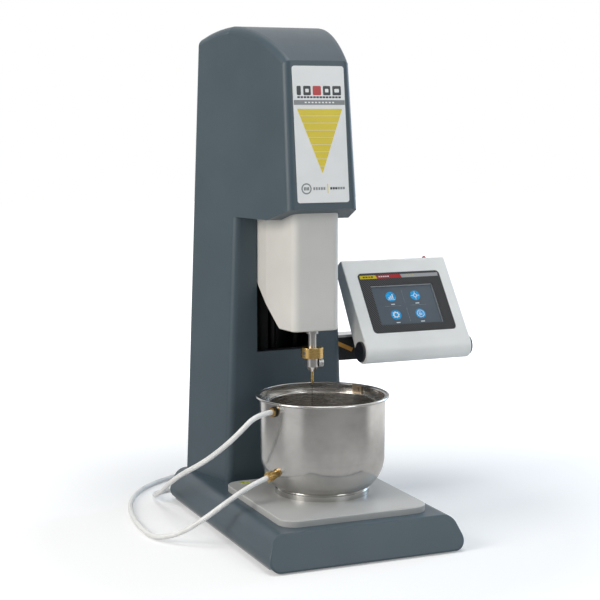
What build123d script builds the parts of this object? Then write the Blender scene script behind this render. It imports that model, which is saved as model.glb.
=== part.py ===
"""Automatic bench penetrometer with a jacketed bath, a tilting display and two water hoses.

Millimetres. +X right, +Y towards the back, +Z up. The origin lies on the table,
straight below the needle.
"""
from build123d import *
from math import atan2, cos, degrees, pi, radians, sin, sqrt, tan
import os

os.makedirs("parts", exist_ok=True)

# Clearances
RUN = 0.05          # radial gap of a shaft in its bore
SEAT = 0.3          # gap between pieces that don't touch face to face
SLIDE = 1.0         # gap round a piece that slides through an opening

# Base casting
BASE_FRONT, BASE_BACK = -161.0, 178.0
BASE_HALF_LOW, BASE_FLARE = 121.5, 15.5
BASE_HALF_TOP = BASE_HALF_LOW - BASE_FLARE
BASE_TOP = 40.0
BASE_LEAN = 16.4            # how far the front face falls back over its height
BASE_WALL, BASE_DECK, BASE_LIP = 4.0, 6.0, 11.0
BASE_LOW_ROUND, BASE_TOP_ROUND, BASE_FRONT_ROUND = 12.0, 16.0, 2.0
FOOT_HEIGHT = 1.5           # table to the underside of the casting
FLOOR_PLATE = 2.0
FOOT_R, FOOT_STUD_R, FOOT_STUD_LENGTH = 11.0, 4.0, 16.0
FOOT_INSET_X, FOOT_INSET_Y, FOOT_BOSS_WALL = 26.0, 36.0, 4.0

# Specimen platform and spirit level
PLATFORM_HALF = 88.4
PLATFORM_FRONT, PLATFORM_BACK = -129.0, 59.5
PLATFORM_THICK, PLATFORM_CORNER, PLATFORM_EDGE = 7.3, 20.0, 1.2
LEVEL_X, LEVEL_Y, LEVEL_R, LEVEL_WALL, LEVEL_DEPTH = -66.0, 46.0, 7.5, 1.5, 5.0

# Column and head casing
COLUMN_FRONT, COLUMN_BACK = 78.0, 176.0
HALF_AT_BACK, HALF_AT_FRONT = 96.4, 54.5        # half widths of the plan at the base
SIDE_DRAFT = 2.2                                # degrees
HEAD_LOW, HEAD_LOW_FRONT, HEAD_STEP_Y = 359.0, 373.0, 13.0
HEAD_FRONT_LOW_Y = -32.4
CREASE_Y, CREASE_Z = -13.0, 538.0
ARCH_FRONT_Y, ARCH_FRONT_Z = 36.0, 565.0        # a point on the front arc
APEX_Y, APEX_Z = 105.0, 580.5
ARCH_BACK_Y, ARCH_BACK_Z = 149.0, 575.0         # a point on the rear arc
CREST_BACK_Z = 567.5
CASING_WALL = 4.0
HEAD_EDGE_ROUND, COLUMN_EDGE_ROUND, REAR_EDGE_ROUND = 9.0, 9.0, 5.0
SLOT_BOTTOM = 197.0
LINER_WALL, LINER_DEPTH = 1.5, 14.0
REAR_HALF, REAR_LOW, REAR_HIGH, REAR_THICK, REAR_LAP = 68.0, 64.0, 540.0, 2.5, 8.0
LOUVRE_WIDTH, LOUVRE_HEIGHT, LOUVRE_PITCH, LOUVRE_ROWS = 34.0, 4.0, 10.0, 8
LABEL_WIDTH, LABEL_LOW, LABEL_HIGH, LABEL_THICK, LABEL_CORNER = 62.9, 380.3, 532.0, 1.0, 3.0

# Carriage and nose
NOSE_HALF_BACK, NOSE_HALF_FRONT = 36.5, 28.5
NOSE_FRONT, NOSE_TAPER_Y, NOSE_BACK = -13.0, 52.0, 88.0
NOSE_BOTTOM, NOSE_TOP = 232.0, 398.0
NOSE_HEEL_Y, NOSE_HEEL_RISE = 20.0, 54.4
NOSE_WALL, NOSE_FLOOR = 2.5, 3.0
NOSE_CORNER_ROUND, NOSE_LOW_ROUND = 9.0, 2.0
SPINDLE_DROP = 34.0

# Drive inside the column
DRIVE_Y = 124.0
ROD_R, ROD_X = 6.0, 31.0
BLOCK_HALF, BLOCK_DEPTH, BLOCK_LOW, BLOCK_HIGH = 43.0, 30.0, 300.0, 366.0
SPINE_HALF, SPINE_THICK, SPINE_Y, SPINE_HIGH = 40.0, 8.0, 146.0, 532.0
BEARING_LOW, BEARING_HIGH, BEARING_HEIGHT = 100.0, 512.0, 16.0
SCREW_R, SCREW_TAIL = 5.0, 10.0
MOTOR_SIDE, MOTOR_LENGTH, MOTOR_CORNER = 42.0, 40.0, 4.0
BUSHING_R, BUSHING_LIP = 10.5, 2.0
NUT_R, NUT_FLANGE_R, NUT_LENGTH, NUT_FLANGE = 8.0, 13.0, 22.0, 4.0
SHELF_Z, SHELF_THICK, SHELF_HALF, SHELF_FRONT = 322.0, 8.0, 22.0, -8.0
SHELF_FLANGE, SHELF_FLANGE_HALF, SHELF_WING_Y = 6.0, 31.0, 67.0

# Needle train, on the axis X = 0, Y = 0
SPINDLE_R, SPINDLE_FLANGE_R, SPINDLE_FLANGE_Z, SPINDLE_FLANGE = 4.75, 9.5, 293.0, 4.0
SPINDLE_ROD_R, SPINDLE_ROD_TOP, STRIP_TOP = 3.0, 388.0, 380.0
BUSH_FLANGE_R, BUSH_R, BUSH_FLANGE, BUSH_LENGTH = 7.0, 6.2, 4.0, 26.0
COLLAR_R, COLLAR_LOW, COLLAR_HEIGHT, COLLAR_EDGE = 13.1, 200.0, 12.2, 0.6
CHUCK_R, CHUCK_LOW, CHUCK_TIP_R, CHUCK_CONE = 6.7, 189.3, 3.4, 5.0
SPIGOT_R, SPIGOT_LENGTH = 3.0, 3.5
THUMB_R, THUMB_HEAD, THUMB_Z, THUMB_STUD_R, THUMB_FLUTES = 5.1, 5.8, 193.6, 1.2, 18
FERRULE_R, FERRULE_LOW, FERRULE_TAPER, FERRULE_TIP_R = 1.6, 169.2, 3.0, 0.9
NEEDLE_R, NEEDLE_TIP_Z, NEEDLE_POINT, NEEDLE_HELD = 0.5, 119.2, 6.3, 8.0
STRIP_X, STRIP_THICK, STRIP_HALF = 7.0, 1.0, 4.0
READER_LENGTH, READER_HEIGHT, READER_HALF = 11.0, 18.0, 8.0
MAGNET_HALF, MAGNET_FRONT, MAGNET_LENGTH, MAGNET_HEIGHT, MAGNET_Z = 12.0, 20.0, 36.0, 26.0, 343.0
MAGNET_BORE = 33.0
PIN_R, PIN_LENGTH = 2.5, 40.0

# Bath
BATH_X, BATH_Y = 4.0, -20.0
BATH_R_TOP, BATH_DRAFT, BATH_LIP = 72.4, 0.8, 4.6
BATH_R_KNEE, BATH_RIM_R = BATH_R_TOP - BATH_DRAFT, BATH_R_TOP + BATH_LIP
BATH_RIM_Z, BATH_KNEE_Z = 160.8, 92.0
BATH_FOOT_INSET, BATH_FOOT_HEIGHT, BATH_FOOT_GROOVE = 17.9, 7.4, 0.8
BATH_FOOT_R = BATH_R_TOP - BATH_FOOT_INSET
BATH_SKIN, BATH_BEAD_R = 1.0, 1.6
BOWL_MID_INSET, BOWL_MID_Z = 5.8, 69.5
BOWL_MID_R = BATH_R_TOP - BOWL_MID_INSET
CUP_INSET, CUP_LIP_R, CUP_LIP_Z, CUP_FLOOR_Z, CUP_ROUND = 10.9, 1.4, 151.5, 61.0, 8.0
CUP_R = BATH_R_TOP - CUP_INSET
LEDGE_Z, LEDGE_THICK = 149.7, 1.0
CLIP_ANGLE, CLIP_WIDTH, CLIP_HEIGHT, CLIP_THICK, CLIP_SCREW_R = 30.0, 13.0, 10.0, 1.5, 3.2

# Water fittings and hoses
HOSE_R = 3.0
PORT_ANGLE, PORT_Z, PORT_R, PORT_LENGTH, PORT_STEM_R = 71.4, 149.4, 5.2, 3.0, 3.4
SEAL_R, SEAL_THICK = 5.9, 1.6
LOWER_ANGLE, LOWER_Z, LOWER_TILT = 74.0, 77.5, 12.0
KNURL_R, KNURL_LENGTH, KNURL_NECK_R, KNURL_NECK, KNURL_FLUTES = 5.6, 8.0, 4.6, 4.0, 24
COIL_MID_R, COIL_HALF_WIDTH, COIL_HEIGHT = 33.0, 6.0, 12.0
COIL_Y, COIL_UPPER_X, COIL_LOWER_X = 245.0, -30.0, 80.0
FIRST_RUN, UPPER_LEAD_IN, LOWER_LEAD_IN = 22.0, 22.0, 28.0
END_FITTING_R, END_FITTING_LENGTH = 5.0, 18.0

# Display, in its own frame: a along the pivot, b up the face, c out of the face
PIVOT_Y, PIVOT_Z, SHELL_LEFT, SHELL_WIDTH = 60.0, 191.5, 91.5, 145.0
TILT, TILT_BACK, TILT_FORWARD = 37.0, 6.0, 30.0
SHELL_ROUND, SHELL_TOP, SHELL_TOP_BACK = 15.0, 122.0, -6.5
SHELL_SPLIT, SHELL_WALL, SHELL_EDGE = 3.0, 2.5, 1.5
BEZEL_LEFT, BEZEL_RIGHT, BEZEL_LOW, BEZEL_HEIGHT = 16.4, 14.9, 16.0, 84.8
BEZEL_WIDTH = SHELL_WIDTH - BEZEL_LEFT - BEZEL_RIGHT
BEZEL_CORNER, BEZEL_THICK, BEZEL_SUNK = 5.0, 1.5, 1.0
SCREEN_LEFT, SCREEN_RIGHT, SCREEN_LOW, SCREEN_HEIGHT = 29.4, 29.5, 26.4, 56.2
SCREEN_WIDTH = SHELL_WIDTH - SCREEN_LEFT - SCREEN_RIGHT
PANEL_BORDER, PANEL_THICK = 3.0, 4.0
CAP_R, CAP_THICK = 12.5, 3.0
SHAFT_R = 4.0
LUG_WIDTH, LUG_R, LUG_LEFT, LUG_RIGHT = 8.0, 8.5, 25.0, 88.0
ARM_FRONT, ARM_DEPTH, ARM_LOW, ARM_HIGH, ARM_RIGHT = 95.0, 25.0, 176.5, 208.0, 196.0
ARM_TOP_PLATE, ARM_WALL = 3.0, 2.5
STYLUS_R, STYLUS_INSET, STYLUS_C, STYLUS_OUT, STYLUS_LENGTH = 2.6, 19.5, -0.4, 9.0, 80.0
STYLUS_A = SHELL_WIDTH - STYLUS_INSET
STYLUS_TUBE_WALL = 0.8
RIBBON_WIDTH, RIBBON_THICK = 5.0, 1.5
RIBBON_START_X, RIBBON_START_Z, RIBBON_END_X, RIBBON_END_Z = 75.5, 198.0, 95.0, 189.0

# Power inlet and switch in the back of the base
INLET_INSET, INLET_Z, INLET_WIDTH, INLET_HEIGHT, INLET_DEPTH = 66.5, 20.0, 56.0, 20.0, 24.0
INLET_X = INLET_INSET - BASE_HALF_LOW
INLET_FLANGE, INLET_FLANGE_THICK, SOCKET_WIDTH, SOCKET_HEIGHT, SOCKET_DEPTH = 3.0, 2.5, 24.0, 16.5, 16.0
PRONG_WIDTH, PRONG_THICK, PRONG_LENGTH, PRONG_SPREAD, PRONG_RAISE = 2.0, 4.0, 12.0, 7.0, 2.0
ROCKER_WIDTH, ROCKER_HEIGHT, ROCKER_R, ROCKER_SAG = 19.0, 13.0, 9.2, 2.0


def save(piece, name):
    """Label a finished piece and write it as its own STEP file."""
    piece.part.label = name
    export_step(piece.part, f"parts/{name}.step")


def half_width(y, z):
    """Half width of the casing's outside at depth y and height z."""
    slope = (HALF_AT_BACK - HALF_AT_FRONT) / (COLUMN_BACK - HEAD_FRONT_LOW_Y)
    return HALF_AT_BACK - slope * (COLUMN_BACK - y) - (z - BASE_TOP) * tan(radians(SIDE_DRAFT))


def side_plane(side, inset):
    """Drafted side of the casing, facing outwards, moved in by inset."""
    slope = (HALF_AT_BACK - HALF_AT_FRONT) / (COLUMN_BACK - HEAD_FRONT_LOW_Y)
    plane = Plane(
        origin=(side * half_width(COLUMN_FRONT, BASE_TOP), COLUMN_FRONT, BASE_TOP),
        x_dir=(0, 0, 1),
        z_dir=(side, -slope, tan(radians(SIDE_DRAFT))),
    )
    return plane.offset(-inset)


def base_half(z):
    """Half width of the base casting's outside at height z."""
    slope = (BASE_HALF_LOW - BASE_HALF_TOP) / (BASE_TOP - FOOT_HEIGHT)
    return BASE_HALF_LOW - slope * (z - FOOT_HEIGHT)


# Base casting: its section run front to back, the front face leaning, hollow below
with BuildPart() as base_casing:
    with BuildSketch(Plane.XZ.offset(-BASE_BACK)) as base_profile:
        with BuildLine():
            Polyline((-BASE_HALF_LOW, FOOT_HEIGHT), (BASE_HALF_LOW, FOOT_HEIGHT),
                     (BASE_HALF_TOP, BASE_TOP), (-BASE_HALF_TOP, BASE_TOP), close=True)
        make_face()
        fillet(base_profile.vertices().group_by(Axis.Y)[0], BASE_LOW_ROUND)
        fillet(base_profile.vertices().group_by(Axis.Y)[-1], BASE_TOP_ROUND)
    extrude(amount=BASE_BACK - BASE_FRONT)
    with BuildSketch(Plane.YZ):
        with BuildLine():
            Polyline((BASE_FRONT, FOOT_HEIGHT), (BASE_FRONT + BASE_LEAN, BASE_TOP),
                     (BASE_FRONT + BASE_LEAN, 2 * BASE_TOP), (BASE_FRONT - BASE_LEAN, 2 * BASE_TOP),
                     (BASE_FRONT - BASE_LEAN, FOOT_HEIGHT), close=True)
        make_face()
    extrude(amount=BASE_HALF_LOW, both=True, mode=Mode.SUBTRACT)
    fillet(base_casing.faces().sort_by(Axis.Y)[0].edges(), BASE_FRONT_ROUND)
    hollow_front = BASE_FRONT + BASE_LEAN + BASE_WALL
    lip_top = FOOT_HEIGHT + BASE_LIP
    mouth_half = BASE_HALF_LOW - BASE_LIP
    waist_half = base_half(lip_top) - BASE_WALL
    roof_half = base_half(BASE_TOP - BASE_DECK) - BASE_WALL
    with BuildSketch(Plane.XZ.offset(-(BASE_BACK - BASE_WALL))):
        with BuildLine():
            Polyline((-mouth_half, FOOT_HEIGHT), (mouth_half, FOOT_HEIGHT), (waist_half, lip_top),
                     (roof_half, BASE_TOP - BASE_DECK), (-roof_half, BASE_TOP - BASE_DECK),
                     (-waist_half, lip_top), close=True)
        make_face()
    extrude(amount=BASE_BACK - BASE_WALL - hollow_front, mode=Mode.SUBTRACT)
    foot_places = [(side * (BASE_HALF_LOW - FOOT_INSET_X), y)
                   for y in (BASE_FRONT + FOOT_INSET_Y, BASE_BACK - FOOT_INSET_Y)
                   for side in (-1, 1)]
    boss_floor = FOOT_HEIGHT + FLOOR_PLATE
    with BuildSketch(Plane.XY.offset(boss_floor)):
        with Locations(*foot_places):
            Circle(FOOT_STUD_R + FOOT_BOSS_WALL)
    extrude(amount=BASE_TOP - BASE_DECK - boss_floor)
    with BuildSketch(Plane.XY.offset(boss_floor)):
        with Locations(*foot_places):
            Circle(FOOT_STUD_R + RUN)
    extrude(amount=FOOT_STUD_LENGTH + RUN, mode=Mode.SUBTRACT)
    with BuildSketch(Plane.XZ.offset(-BASE_BACK)):
        with Locations((INLET_X, INLET_Z)):
            Rectangle(INLET_WIDTH + 2 * RUN, INLET_HEIGHT + 2 * RUN)
    extrude(amount=BASE_WALL, mode=Mode.SUBTRACT)
save(base_casing, "base_casing")

# Floor plate closing the base, resting against the foot bosses
plate_half = mouth_half - SEAT
with BuildPart() as bottom_plate:
    with BuildSketch(Plane.XY.offset(FOOT_HEIGHT)):
        with Locations((0, (hollow_front + BASE_BACK - BASE_WALL) / 2)):
            Rectangle(2 * plate_half, BASE_BACK - BASE_WALL - hollow_front - 2 * SEAT)
        with Locations(*foot_places):
            Circle(FOOT_STUD_R + SEAT, mode=Mode.SUBTRACT)
    extrude(amount=FLOOR_PLATE)
save(bottom_plate, "bottom_plate")

# Four levelling feet, each a stud turned from one piece with its pad
foot_names = ["foot_front_left", "foot_front_right", "foot_rear_left", "foot_rear_right"]
for foot_name, foot_place in zip(foot_names, foot_places):
    with BuildPart() as foot:
        with BuildSketch(Plane.XY):
            with Locations(foot_place):
                Circle(FOOT_R)
        extrude(amount=FOOT_HEIGHT)
        with BuildSketch(Plane.XY.offset(FOOT_HEIGHT)):
            with Locations(foot_place):
                Circle(FOOT_STUD_R)
        extrude(amount=FLOOR_PLATE + FOOT_STUD_LENGTH)
    save(foot, foot_name)

# Specimen platform with the pocket for the spirit level
platform_top = BASE_TOP + PLATFORM_THICK
with BuildPart() as platform:
    with BuildSketch(Plane.XY.offset(BASE_TOP)):
        with Locations((0, (PLATFORM_FRONT + PLATFORM_BACK) / 2)):
            RectangleRounded(2 * PLATFORM_HALF, PLATFORM_BACK - PLATFORM_FRONT, PLATFORM_CORNER)
    extrude(amount=PLATFORM_THICK)
    fillet(platform.faces().sort_by(Axis.Z)[-1].edges(), PLATFORM_EDGE)
    with BuildSketch(Plane.XY.offset(platform_top)):
        with Locations((LEVEL_X, LEVEL_Y)):
            Circle(LEVEL_R + RUN)
    extrude(amount=-LEVEL_DEPTH, mode=Mode.SUBTRACT)
save(platform, "platform")

with BuildPart() as level_bezel:
    with BuildSketch(Plane.XY.offset(platform_top - LEVEL_DEPTH)):
        with Locations((LEVEL_X, LEVEL_Y)):
            Circle(LEVEL_R)
    extrude(amount=LEVEL_DEPTH + SEAT)
    with BuildSketch(Plane.XY.offset(platform_top + SEAT)):
        with Locations((LEVEL_X, LEVEL_Y)):
            Circle(LEVEL_R - LEVEL_WALL + RUN)
    extrude(amount=LEVEL_WALL - LEVEL_DEPTH, mode=Mode.SUBTRACT)
save(level_bezel, "level_bezel")

with BuildPart() as level_vial:
    with BuildSketch(Plane.XY.offset(platform_top + SEAT + LEVEL_WALL - LEVEL_DEPTH)):
        with Locations((LEVEL_X, LEVEL_Y)):
            Circle(LEVEL_R - LEVEL_WALL)
    extrude(amount=LEVEL_DEPTH - LEVEL_WALL)
    fillet(level_vial.faces().sort_by(Axis.Z)[-1].edges(), LEVEL_WALL)
save(level_vial, "level_vial")


# Column and head: one arched side profile, cut to a wedge by two drafted side planes
def casing_form(inset):
    """Outer shape of the casing, or its hollow when inset is the wall thickness."""
    with BuildPart() as head:
        with BuildSketch(Plane.YZ) as head_profile:
            with BuildLine():
                Polyline((COLUMN_BACK, CREST_BACK_Z), (COLUMN_BACK, HEAD_LOW), (HEAD_STEP_Y, HEAD_LOW),
                         (HEAD_FRONT_LOW_Y, HEAD_LOW_FRONT), (CREASE_Y, CREASE_Z))
                ThreePointArc((CREASE_Y, CREASE_Z), (ARCH_FRONT_Y, ARCH_FRONT_Z), (APEX_Y, APEX_Z))
                ThreePointArc((APEX_Y, APEX_Z), (ARCH_BACK_Y, ARCH_BACK_Z), (COLUMN_BACK, CREST_BACK_Z))
            make_face()
            if inset:
                offset(amount=-inset, kind=Kind.INTERSECTION, mode=Mode.REPLACE)
        extrude(amount=HALF_AT_BACK, both=True)
        split(bisect_by=side_plane(1, inset), keep=Keep.BOTTOM)
        split(bisect_by=side_plane(-1, inset), keep=Keep.BOTTOM)
        wall = head.faces().sort_by(Axis.X)
        side_edges = wall[0].edges() + wall[-1].edges()
        fillet(side_edges.filter_by(lambda e: e.center().Z > HEAD_LOW_FRONT
                                    and e.center().Y < COLUMN_BACK - CASING_WALL - inset),
               HEAD_EDGE_ROUND - inset)
    with BuildPart() as column:
        column_top = HEAD_LOW + inset + CASING_WALL
        column_mid = (COLUMN_FRONT + COLUMN_BACK) / 2
        with BuildSketch(Plane.XY.offset(BASE_TOP)):
            with Locations((0, column_mid)):
                Rectangle(2 * HALF_AT_BACK, COLUMN_BACK - COLUMN_FRONT - 2 * inset)
        extrude(amount=column_top - BASE_TOP)
        split(bisect_by=side_plane(1, inset), keep=Keep.BOTTOM)
        split(bisect_by=side_plane(-1, inset), keep=Keep.BOTTOM)
        front = column.faces().sort_by(Axis.Y)[0]
        upright = front.edges().filter_by(lambda e: abs(e.center().X) > 1)
        fillet(upright, COLUMN_EDGE_ROUND - inset)
    return head.part, column.part


outer_head, outer_column = casing_form(0)
inner_head, inner_column = casing_form(CASING_WALL)


# Column casing: form, hollow, nose slot, head opening and the service opening behind
slot_half = NOSE_HALF_BACK + SLIDE
head_lean = atan2(CREASE_Y - HEAD_FRONT_LOW_Y, CREASE_Z - HEAD_LOW_FRONT)


def nose_outline(grow, back):
    """Plan of the nose: straight cheeks, then a taper to the rounded front."""
    with BuildSketch() as outline:
        half = NOSE_HALF_BACK + grow
        tip_half = NOSE_HALF_FRONT + grow
        with BuildLine():
            Polyline((half, back), (half, NOSE_TAPER_Y), (tip_half, NOSE_FRONT - grow),
                     (-tip_half, NOSE_FRONT - grow), (-half, NOSE_TAPER_Y), (-half, back), close=True)
        make_face()
        fillet(outline.vertices().group_by(Axis.Y)[0], NOSE_CORNER_ROUND + grow)
    return outline.sketch


with BuildPart() as column_casing:
    add(outer_head)
    add(outer_column)
    rear_corners = column_casing.faces().filter_by(Axis.Y).sort_by(Axis.Y)[-1].edges()
    fillet(rear_corners.filter_by(lambda e: e.center().Z > BASE_TOP + SLIDE), REAR_EDGE_ROUND)
    add(inner_head, mode=Mode.SUBTRACT)
    add(inner_column, mode=Mode.SUBTRACT)
    with BuildSketch(Plane.XZ.offset(-(COLUMN_FRONT - SLIDE))):
        with Locations((0, (SLOT_BOTTOM + HEAD_LOW + CASING_WALL) / 2)):
            Rectangle(2 * slot_half, HEAD_LOW + CASING_WALL - SLOT_BOTTOM)
    extrude(amount=-(CASING_WALL + 2 * SLIDE), mode=Mode.SUBTRACT)
    with BuildSketch(Plane.XY.offset(HEAD_LOW - SLIDE)):
        add(nose_outline(SLIDE, NOSE_BACK))
    extrude(amount=HEAD_LOW_FRONT - HEAD_LOW + 2 * CASING_WALL, mode=Mode.SUBTRACT)
    with BuildSketch(Plane.XZ.offset(-(COLUMN_BACK + SLIDE))):
        with Locations((0, (REAR_LOW + REAR_HIGH) / 2)):
            Rectangle(2 * (REAR_HALF - REAR_LAP), REAR_HIGH - REAR_LOW - 2 * REAR_LAP)
    extrude(amount=CASING_WALL + 2 * SLIDE, mode=Mode.SUBTRACT)
save(column_casing, "column_casing")

# Service cover with two banks of louvre slots
with BuildPart() as rear_cover:
    with BuildSketch(Plane.XZ.offset(-(COLUMN_BACK + REAR_THICK))):
        with Locations((0, (REAR_LOW + REAR_HIGH) / 2)):
            RectangleRounded(2 * REAR_HALF, REAR_HIGH - REAR_LOW, REAR_LAP)
        louvre_z = REAR_LOW + 2 * REAR_LAP + LOUVRE_PITCH * LOUVRE_ROWS / 2
        with Locations((0, louvre_z)):
            with GridLocations(REAR_HALF, LOUVRE_PITCH, 2, LOUVRE_ROWS):
                SlotOverall(LOUVRE_WIDTH, LOUVRE_HEIGHT, mode=Mode.SUBTRACT)
    extrude(amount=REAR_THICK)
save(rear_cover, "rear_cover")

# Dark liner framing the slot from inside
with BuildPart() as slot_liner:
    liner_low = SLOT_BOTTOM - LINER_WALL
    with BuildSketch(Plane.XZ.offset(-(COLUMN_FRONT + CASING_WALL))):
        with Locations((0, liner_low)):
            Rectangle(2 * (slot_half + LINER_WALL), HEAD_LOW - liner_low, align=(Align.CENTER, Align.MIN))
        with Locations((0, SLOT_BOTTOM)):
            Rectangle(2 * slot_half, HEAD_LOW - SLOT_BOTTOM, align=(Align.CENTER, Align.MIN),
                      mode=Mode.SUBTRACT)
    extrude(amount=-LINER_DEPTH)
save(slot_liner, "slot_liner")

# Plate on the leaning front of the head
label_z = (LABEL_LOW + LABEL_HIGH) / 2
label_y = HEAD_FRONT_LOW_Y + (label_z - HEAD_LOW_FRONT) * tan(head_lean)
with BuildPart() as front_label:
    label_face = Plane(origin=(0, label_y, label_z), x_dir=(1, 0, 0),
                       z_dir=(0, -cos(head_lean), sin(head_lean)))
    with BuildSketch(label_face):
        RectangleRounded(LABEL_WIDTH, (LABEL_HIGH - LABEL_LOW) / cos(head_lean), LABEL_CORNER)
    extrude(amount=LABEL_THICK)
save(front_label, "front_label")


# Drive: spine, bearing blocks, guide rods, motor and lead screw
with BuildPart() as spine_plate:
    with BuildSketch(Plane.XY.offset(BASE_TOP)):
        with Locations((0, SPINE_Y)):
            Rectangle(2 * SPINE_HALF, SPINE_THICK, align=(Align.CENTER, Align.MIN))
    extrude(amount=SPINE_HIGH - BASE_TOP)
save(spine_plate, "spine_plate")

block_front = DRIVE_Y - BLOCK_DEPTH / 2
for block_name, block_z in (("lower_bearing_block", BEARING_LOW), ("upper_bearing_block", BEARING_HIGH)):
    with BuildPart() as bearing_block:
        with BuildSketch(Plane.XY.offset(block_z)):
            with Locations((0, block_front)):
                Rectangle(2 * BLOCK_HALF, SPINE_Y - block_front, align=(Align.CENTER, Align.MIN))
            with Locations((-ROD_X, DRIVE_Y), (ROD_X, DRIVE_Y)):
                Circle(ROD_R + RUN, mode=Mode.SUBTRACT)
            with Locations((0, DRIVE_Y)):
                Circle(SCREW_R + RUN, mode=Mode.SUBTRACT)
        extrude(amount=BEARING_HEIGHT)
    save(bearing_block, block_name)

for rod_name, rod_x in (("guide_rod_left", -ROD_X), ("guide_rod_right", ROD_X)):
    with BuildPart() as guide_rod:
        with BuildSketch(Plane.XY.offset(BEARING_LOW)):
            with Locations((rod_x, DRIVE_Y)):
                Circle(ROD_R)
        extrude(amount=BEARING_HIGH + BEARING_HEIGHT - BEARING_LOW)
    save(guide_rod, rod_name)

screw_low = BEARING_LOW - SCREW_TAIL
with BuildPart() as drive_motor:
    with BuildSketch(Plane.XY.offset(BEARING_LOW - MOTOR_LENGTH)):
        with Locations((0, DRIVE_Y)):
            RectangleRounded(MOTOR_SIDE, MOTOR_SIDE, MOTOR_CORNER)
    extrude(amount=MOTOR_LENGTH)
    with BuildSketch(Plane.XY.offset(BEARING_LOW)):
        with Locations((0, DRIVE_Y)):
            Circle(SCREW_R + SEAT)
    extrude(amount=screw_low - SEAT - BEARING_LOW, mode=Mode.SUBTRACT)
save(drive_motor, "drive_motor")

with BuildPart() as lead_screw:
    with BuildSketch(Plane.XY.offset(screw_low)):
        with Locations((0, DRIVE_Y)):
            Circle(SCREW_R)
    extrude(amount=BEARING_HIGH + BEARING_HEIGHT - screw_low)
save(lead_screw, "lead_screw")

# Carriage on the rods, with its nut and shelf
with BuildPart() as carriage_block:
    with BuildSketch(Plane.XY.offset(BLOCK_LOW)):
        with Locations((0, DRIVE_Y)):
            Rectangle(2 * BLOCK_HALF, BLOCK_DEPTH)
            Circle(NUT_R + RUN, mode=Mode.SUBTRACT)
        with Locations((-ROD_X, DRIVE_Y), (ROD_X, DRIVE_Y)):
            Circle(ROD_R + RUN, mode=Mode.SUBTRACT)
    extrude(amount=BLOCK_HIGH - BLOCK_LOW)
    with BuildSketch(Plane.XY.offset(BLOCK_LOW - BUSHING_LIP)):
        with Locations((-ROD_X, DRIVE_Y), (ROD_X, DRIVE_Y)):
            Circle(BUSHING_R)
            Circle(ROD_R + RUN, mode=Mode.SUBTRACT)
    extrude(amount=BUSHING_LIP)
save(carriage_block, "carriage_block")

with BuildPart() as lead_nut:
    with BuildSketch(Plane.XY.offset(BLOCK_LOW - NUT_FLANGE)):
        with Locations((0, DRIVE_Y)):
            Circle(NUT_FLANGE_R)
    extrude(amount=NUT_FLANGE)
    with BuildSketch(Plane.XY.offset(BLOCK_LOW)):
        with Locations((0, DRIVE_Y)):
            Circle(NUT_R)
    extrude(amount=NUT_LENGTH)
    with BuildSketch(Plane.XY.offset(BLOCK_LOW - NUT_FLANGE)):
        with Locations((0, DRIVE_Y)):
            Circle(SCREW_R + RUN)
    extrude(amount=NUT_FLANGE + NUT_LENGTH, mode=Mode.SUBTRACT)
save(lead_nut, "lead_nut")

shelf_top = SHELF_Z + SHELF_THICK
with BuildPart() as carriage_shelf:
    with BuildSketch(Plane.XY.offset(SHELF_Z)):
        with Locations((0, SHELF_FRONT)):
            Rectangle(2 * SHELF_HALF, block_front - SHELF_FRONT, align=(Align.CENTER, Align.MIN))
        with Locations((0, SHELF_WING_Y)):
            Rectangle(2 * (NOSE_HALF_BACK - NOSE_WALL), NOSE_BACK - SHELF_WING_Y,
                      align=(Align.CENTER, Align.MIN))
        Circle(SPINDLE_ROD_R + RUN, mode=Mode.SUBTRACT)
        with Locations((STRIP_X + STRIP_THICK / 2, 0)):
            Rectangle(STRIP_THICK + 2 * SEAT, 2 * (STRIP_HALF + SEAT), mode=Mode.SUBTRACT)
    extrude(amount=SHELF_THICK)
    with BuildSketch(Plane.XZ.offset(-block_front)):
        with Locations((0, BLOCK_LOW)):
            Rectangle(2 * SHELF_FLANGE_HALF, BLOCK_HIGH - BLOCK_LOW, align=(Align.CENTER, Align.MIN))
    extrude(amount=SHELF_FLANGE)
save(carriage_shelf, "carriage_shelf")


# Nose: a tapering box with a raked heel, open at the top and behind
def nose_form(grow, back, floor):
    """Nose body, or its hollow when grow is minus the wall thickness."""
    with BuildPart() as form:
        with BuildSketch(Plane.XY.offset(floor)):
            add(nose_outline(grow, back))
        extrude(amount=NOSE_TOP - floor)
        heel_top = floor + NOSE_HEEL_RISE * (back - NOSE_HEEL_Y) / (NOSE_BACK - NOSE_HEEL_Y)
        with BuildSketch(Plane.YZ):
            with BuildLine():
                Polyline((NOSE_HEEL_Y, floor), (back, floor), (back, heel_top), close=True)
            make_face()
        extrude(amount=NOSE_HALF_BACK + grow, both=True, mode=Mode.SUBTRACT)
    return form.part


nose_outer = nose_form(0, NOSE_BACK, NOSE_BOTTOM)
nose_inner = nose_form(-NOSE_WALL, NOSE_BACK + SLIDE, NOSE_BOTTOM + NOSE_FLOOR)
with BuildPart() as nose_housing:
    add(nose_outer)
    fillet(nose_housing.faces().sort_by(Axis.Z)[0].edges().sort_by(Axis.Y)[:-1], NOSE_LOW_ROUND)
    add(nose_inner, mode=Mode.SUBTRACT)
    with BuildSketch(Plane.XY.offset(NOSE_BOTTOM)):
        Circle(BUSH_R + RUN)
    extrude(amount=NOSE_FLOOR, mode=Mode.SUBTRACT)
save(nose_housing, "nose_housing")

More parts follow.
